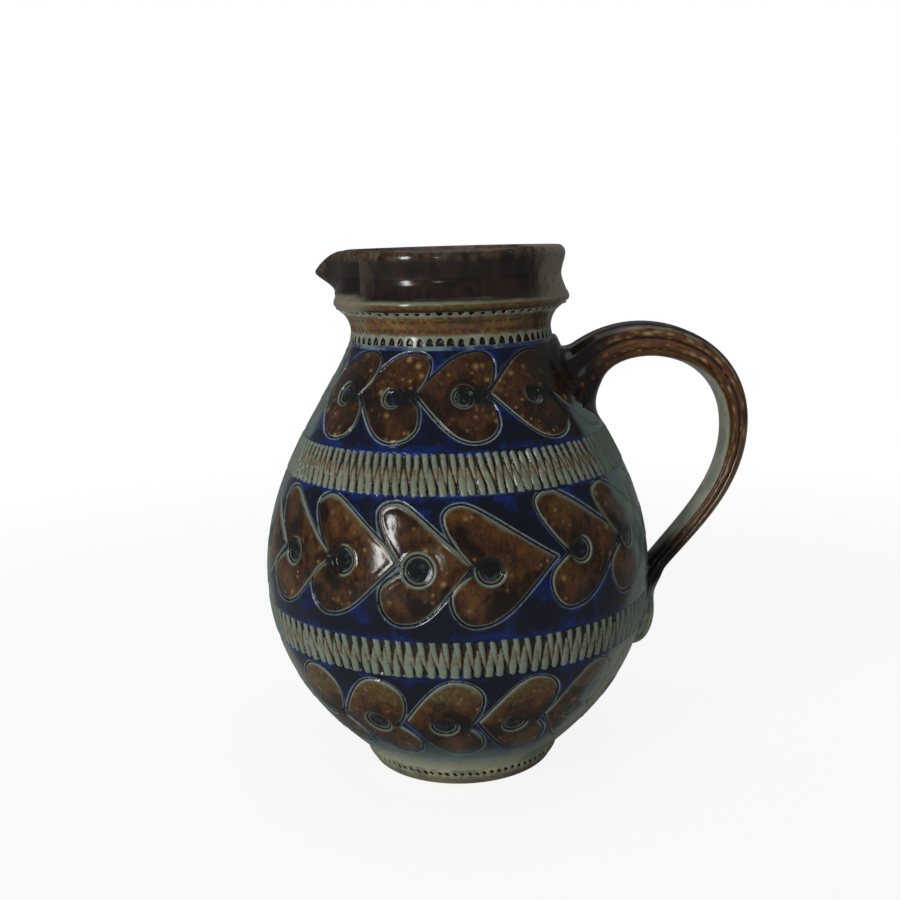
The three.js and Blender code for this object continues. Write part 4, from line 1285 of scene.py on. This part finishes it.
def smearOut(place, centre, radius):   # clay smeared out where it meets the pot, and never far inside it
    beyond, normal = potDistance(place)
    middle = np.column_stack([centre[:, 0], np.zeros(len(place)), centre[:, 1]])
    reach = place - middle
    reach = reach - (reach * normal).sum(1)[:, None] * normal
    size = np.linalg.norm(reach, axis=1)[:, None]
    inside = np.clip(radius - np.maximum(beyond, 0), 0, None)
    smear = radius - np.sqrt(np.clip(radius ** 2 - inside ** 2, 0, None))
    smear = smear * easeIn(size[:, 0], 1.0, 5.0)
    place = place + reach / np.maximum(size, 0.01) * smear[:, None]
    beyond, normal = potDistance(place)
    return place + normal * np.clip(-strap["sink"] - beyond, 0, None)[:, None]


def makeHandle(glaze):
    line, way = strapLine()
    across, rise = strapSection()
    flat = np.column_stack([across * 10, rise * 10])
    piece, row, side = drawStrap(flat, len(line))
    along = np.gradient(line[:, :2], axis=0)
    along = (along / np.linalg.norm(along, axis=1)[:, None])[row]
    distance = way[row]
    centre = line[row, :2]
    flare = np.clip((strap["flareEnd"] - distance) / strap["flareOver"], 0, 1) ** 3
    halfWidth = line[row, 2] + strap["flareWide"] * flare
    halfThick = line[row, 3] + strap["flareThick"] * flare
    lift = rise[side] * halfThick + strap["flareLift"] * flare ** 2
    place = np.column_stack([centre[:, 0] - along[:, 1] * lift, -across[side] * halfWidth,
                             centre[:, 1] + along[:, 0] * lift])
    radius = np.where(distance < strap["rootPart"], strap["rootSmear"], strap["tailSmear"])
    movePoints(piece, smearOut(place, centre, radius))
    tidyShell(piece)
    rise = rise[side]
    height = centre[:, 1]
    low = distance > strap["lowPart"]
    keepValues(piece, rise=rise, way=distance, girth=lengthsAlong(flat)[side],
               toRoot=easeIn(distance - 9.0 * rise, 24.0, 4.0),
               toTail=easeIn(height - 7.0 * rise, *strap["tailAsh"]) * low,
               lower=easeIn(height, *strap["greenFrom"]) * low,
               tailDark=easeIn(height, *strap["tailDark"]) * low)
    return finishPiece(piece, "handle_strap", [glaze])


# Camera, floor and light

camera = {
    "place": (0.0, -0.48404, 0.22618), "lens": 46.08,
    "right": (0.99960016, -0.00165088, -0.02822746), "up": (0.02803853, 0.18689983, 0.98197876),
}


def makeCamera():
    bpy.ops.object.camera_add()
    made = bpy.context.object
    right, up = Vector(camera["right"]), Vector(camera["up"])
    turned = Matrix((right, up, right.cross(up))).transposed().to_4x4()
    made.matrix_world = Matrix.Translation(camera["place"]) @ turned
    made.data.lens = camera["lens"]
    made.data.sensor_width = 36.0
    made.data.clip_start = 0.01
    bpy.context.scene.camera = made


lights = {   # each shines from that direction onto the middle of the jug
    "window": {"from": (-0.662, -0.71, 0.242), "far": 1.5, "wide": 0.17, "tall": 0.6, "power": 6.0},
    "lamp": {"from": (-0.193, -0.965, 0.175), "far": 1.5, "wide": 0.08, "tall": 0.08, "power": 0.5},
    "overhead": {"from": (0.05, 0.0, 1.0), "far": 1.3, "wide": 1.3, "tall": 1.3, "power": 3.0},
}
room = {"lookAt": 0.11, "floorSize": 6.0, "floorReflect": 0.6, "floorSeen": 0.2, "glow": 0.88,
        "white": 1.0, "fadeFrom": 0.3, "fadeTo": 0.7, "world": 0.14}


def makeLights():
    for name, light in lights.items():
        way = Vector(light["from"]).normalized()
        bpy.ops.object.light_add(type="AREA", location=Vector((0, 0, room["lookAt"])) + way * light["far"])
        made = bpy.context.object
        made.name = name
        made.rotation_euler = way.to_track_quat("Z", "Y").to_euler()
        made.data.shape = "RECTANGLE"
        made.data.size = light["wide"]
        made.data.size_y = light["tall"]
        made.data.energy = light["power"]


def makeFloor():   # a white sheet: the camera sees it brighter than the pot does, and it fades away
    bpy.ops.mesh.primitive_plane_add(size=room["floorSize"])
    floor = bpy.context.object
    floor.name = "studioFloor"
    g = Glaze("paleFloor")

    def plain(kind, level):
        return g.add(kind, {}, {"Color": (room[level],) * 3 + (1.0,)})

    grain = 1.0 - 0.02 * g.noise(3.0, 2.0)
    away = g.add("ShaderNodeVectorMath", {"operation": "LENGTH"}, {0: g.place()}, out="Value") * grain
    lit = g.add("ShaderNodeAddShader", {}, {
        0: plain("ShaderNodeBsdfDiffuse", "floorSeen"), 1: plain("ShaderNodeEmission", "glow")})
    shown = g.add("ShaderNodeMixShader", {}, {
        0: g.fade(away, room["fadeFrom"], room["fadeTo"]), 1: lit, 2: plain("ShaderNodeEmission", "white")})
    surface = g.add("ShaderNodeMixShader", {}, {
        0: g.add("ShaderNodeLightPath", out="Is Camera Ray"),
        1: plain("ShaderNodeBsdfDiffuse", "floorReflect"), 2: shown})
    g.add("ShaderNodeOutputMaterial", {}, {"Surface": surface})
    floor.data.materials.append(g.material)


def makeWorld():
    world = bpy.data.worlds.new("studio")
    world.use_nodes = True
    tree = world.node_tree
    tree.nodes.clear()
    seen = tree.nodes.new("ShaderNodeLightPath")
    strength = tree.nodes.new("ShaderNodeMapRange")
    strength.inputs["To Min"].default_value = room["world"]
    strength.inputs["To Max"].default_value = room["white"]
    background = tree.nodes.new("ShaderNodeBackground")
    background.inputs["Color"].default_value = (1.0, 1.0, 1.0, 1.0)
    output = tree.nodes.new("ShaderNodeOutputWorld")
    tree.links.new(seen.outputs["Is Camera Ray"], strength.inputs["Value"])
    tree.links.new(strength.outputs[0], background.inputs["Strength"])
    tree.links.new(background.outputs[0], output.inputs["Surface"])
    bpy.context.scene.world = world
    bpy.context.scene.view_settings.view_transform = "Standard"


makeCamera()
makeLights()
makeFloor()
makeWorld()
print("camera, lights and floor placed")

inside = insideGlaze("insideGlaze")
makeFoot(footGlaze("footGlaze"))
makeHeartRing("jugBowl", "bowl", heartGlaze("bowlGlaze", panels["bowl"]), inside)
chatter = chatterGlaze("chatterGlaze")
makeChatterRing("jugLowerBand", "lowerChatter", chatter, inside)
makeHeartRing("jugBelly", "middle", heartGlaze("bellyGlaze", panels["middle"]), inside)
makeChatterRing("jugUpperBand", "upperChatter", chatter, inside)
makeHeartRing("jugShoulder", "top", heartGlaze("shoulderGlaze", panels["top"]), inside)
makeNeck(neckGlaze("neckGlaze", neck), inside)
makeCollar(collarGlaze("collarGlaze", collar))
handle = makeHandle(handleGlaze("handleGlaze", strap))
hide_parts("handle_root", "handle_tail_pad")
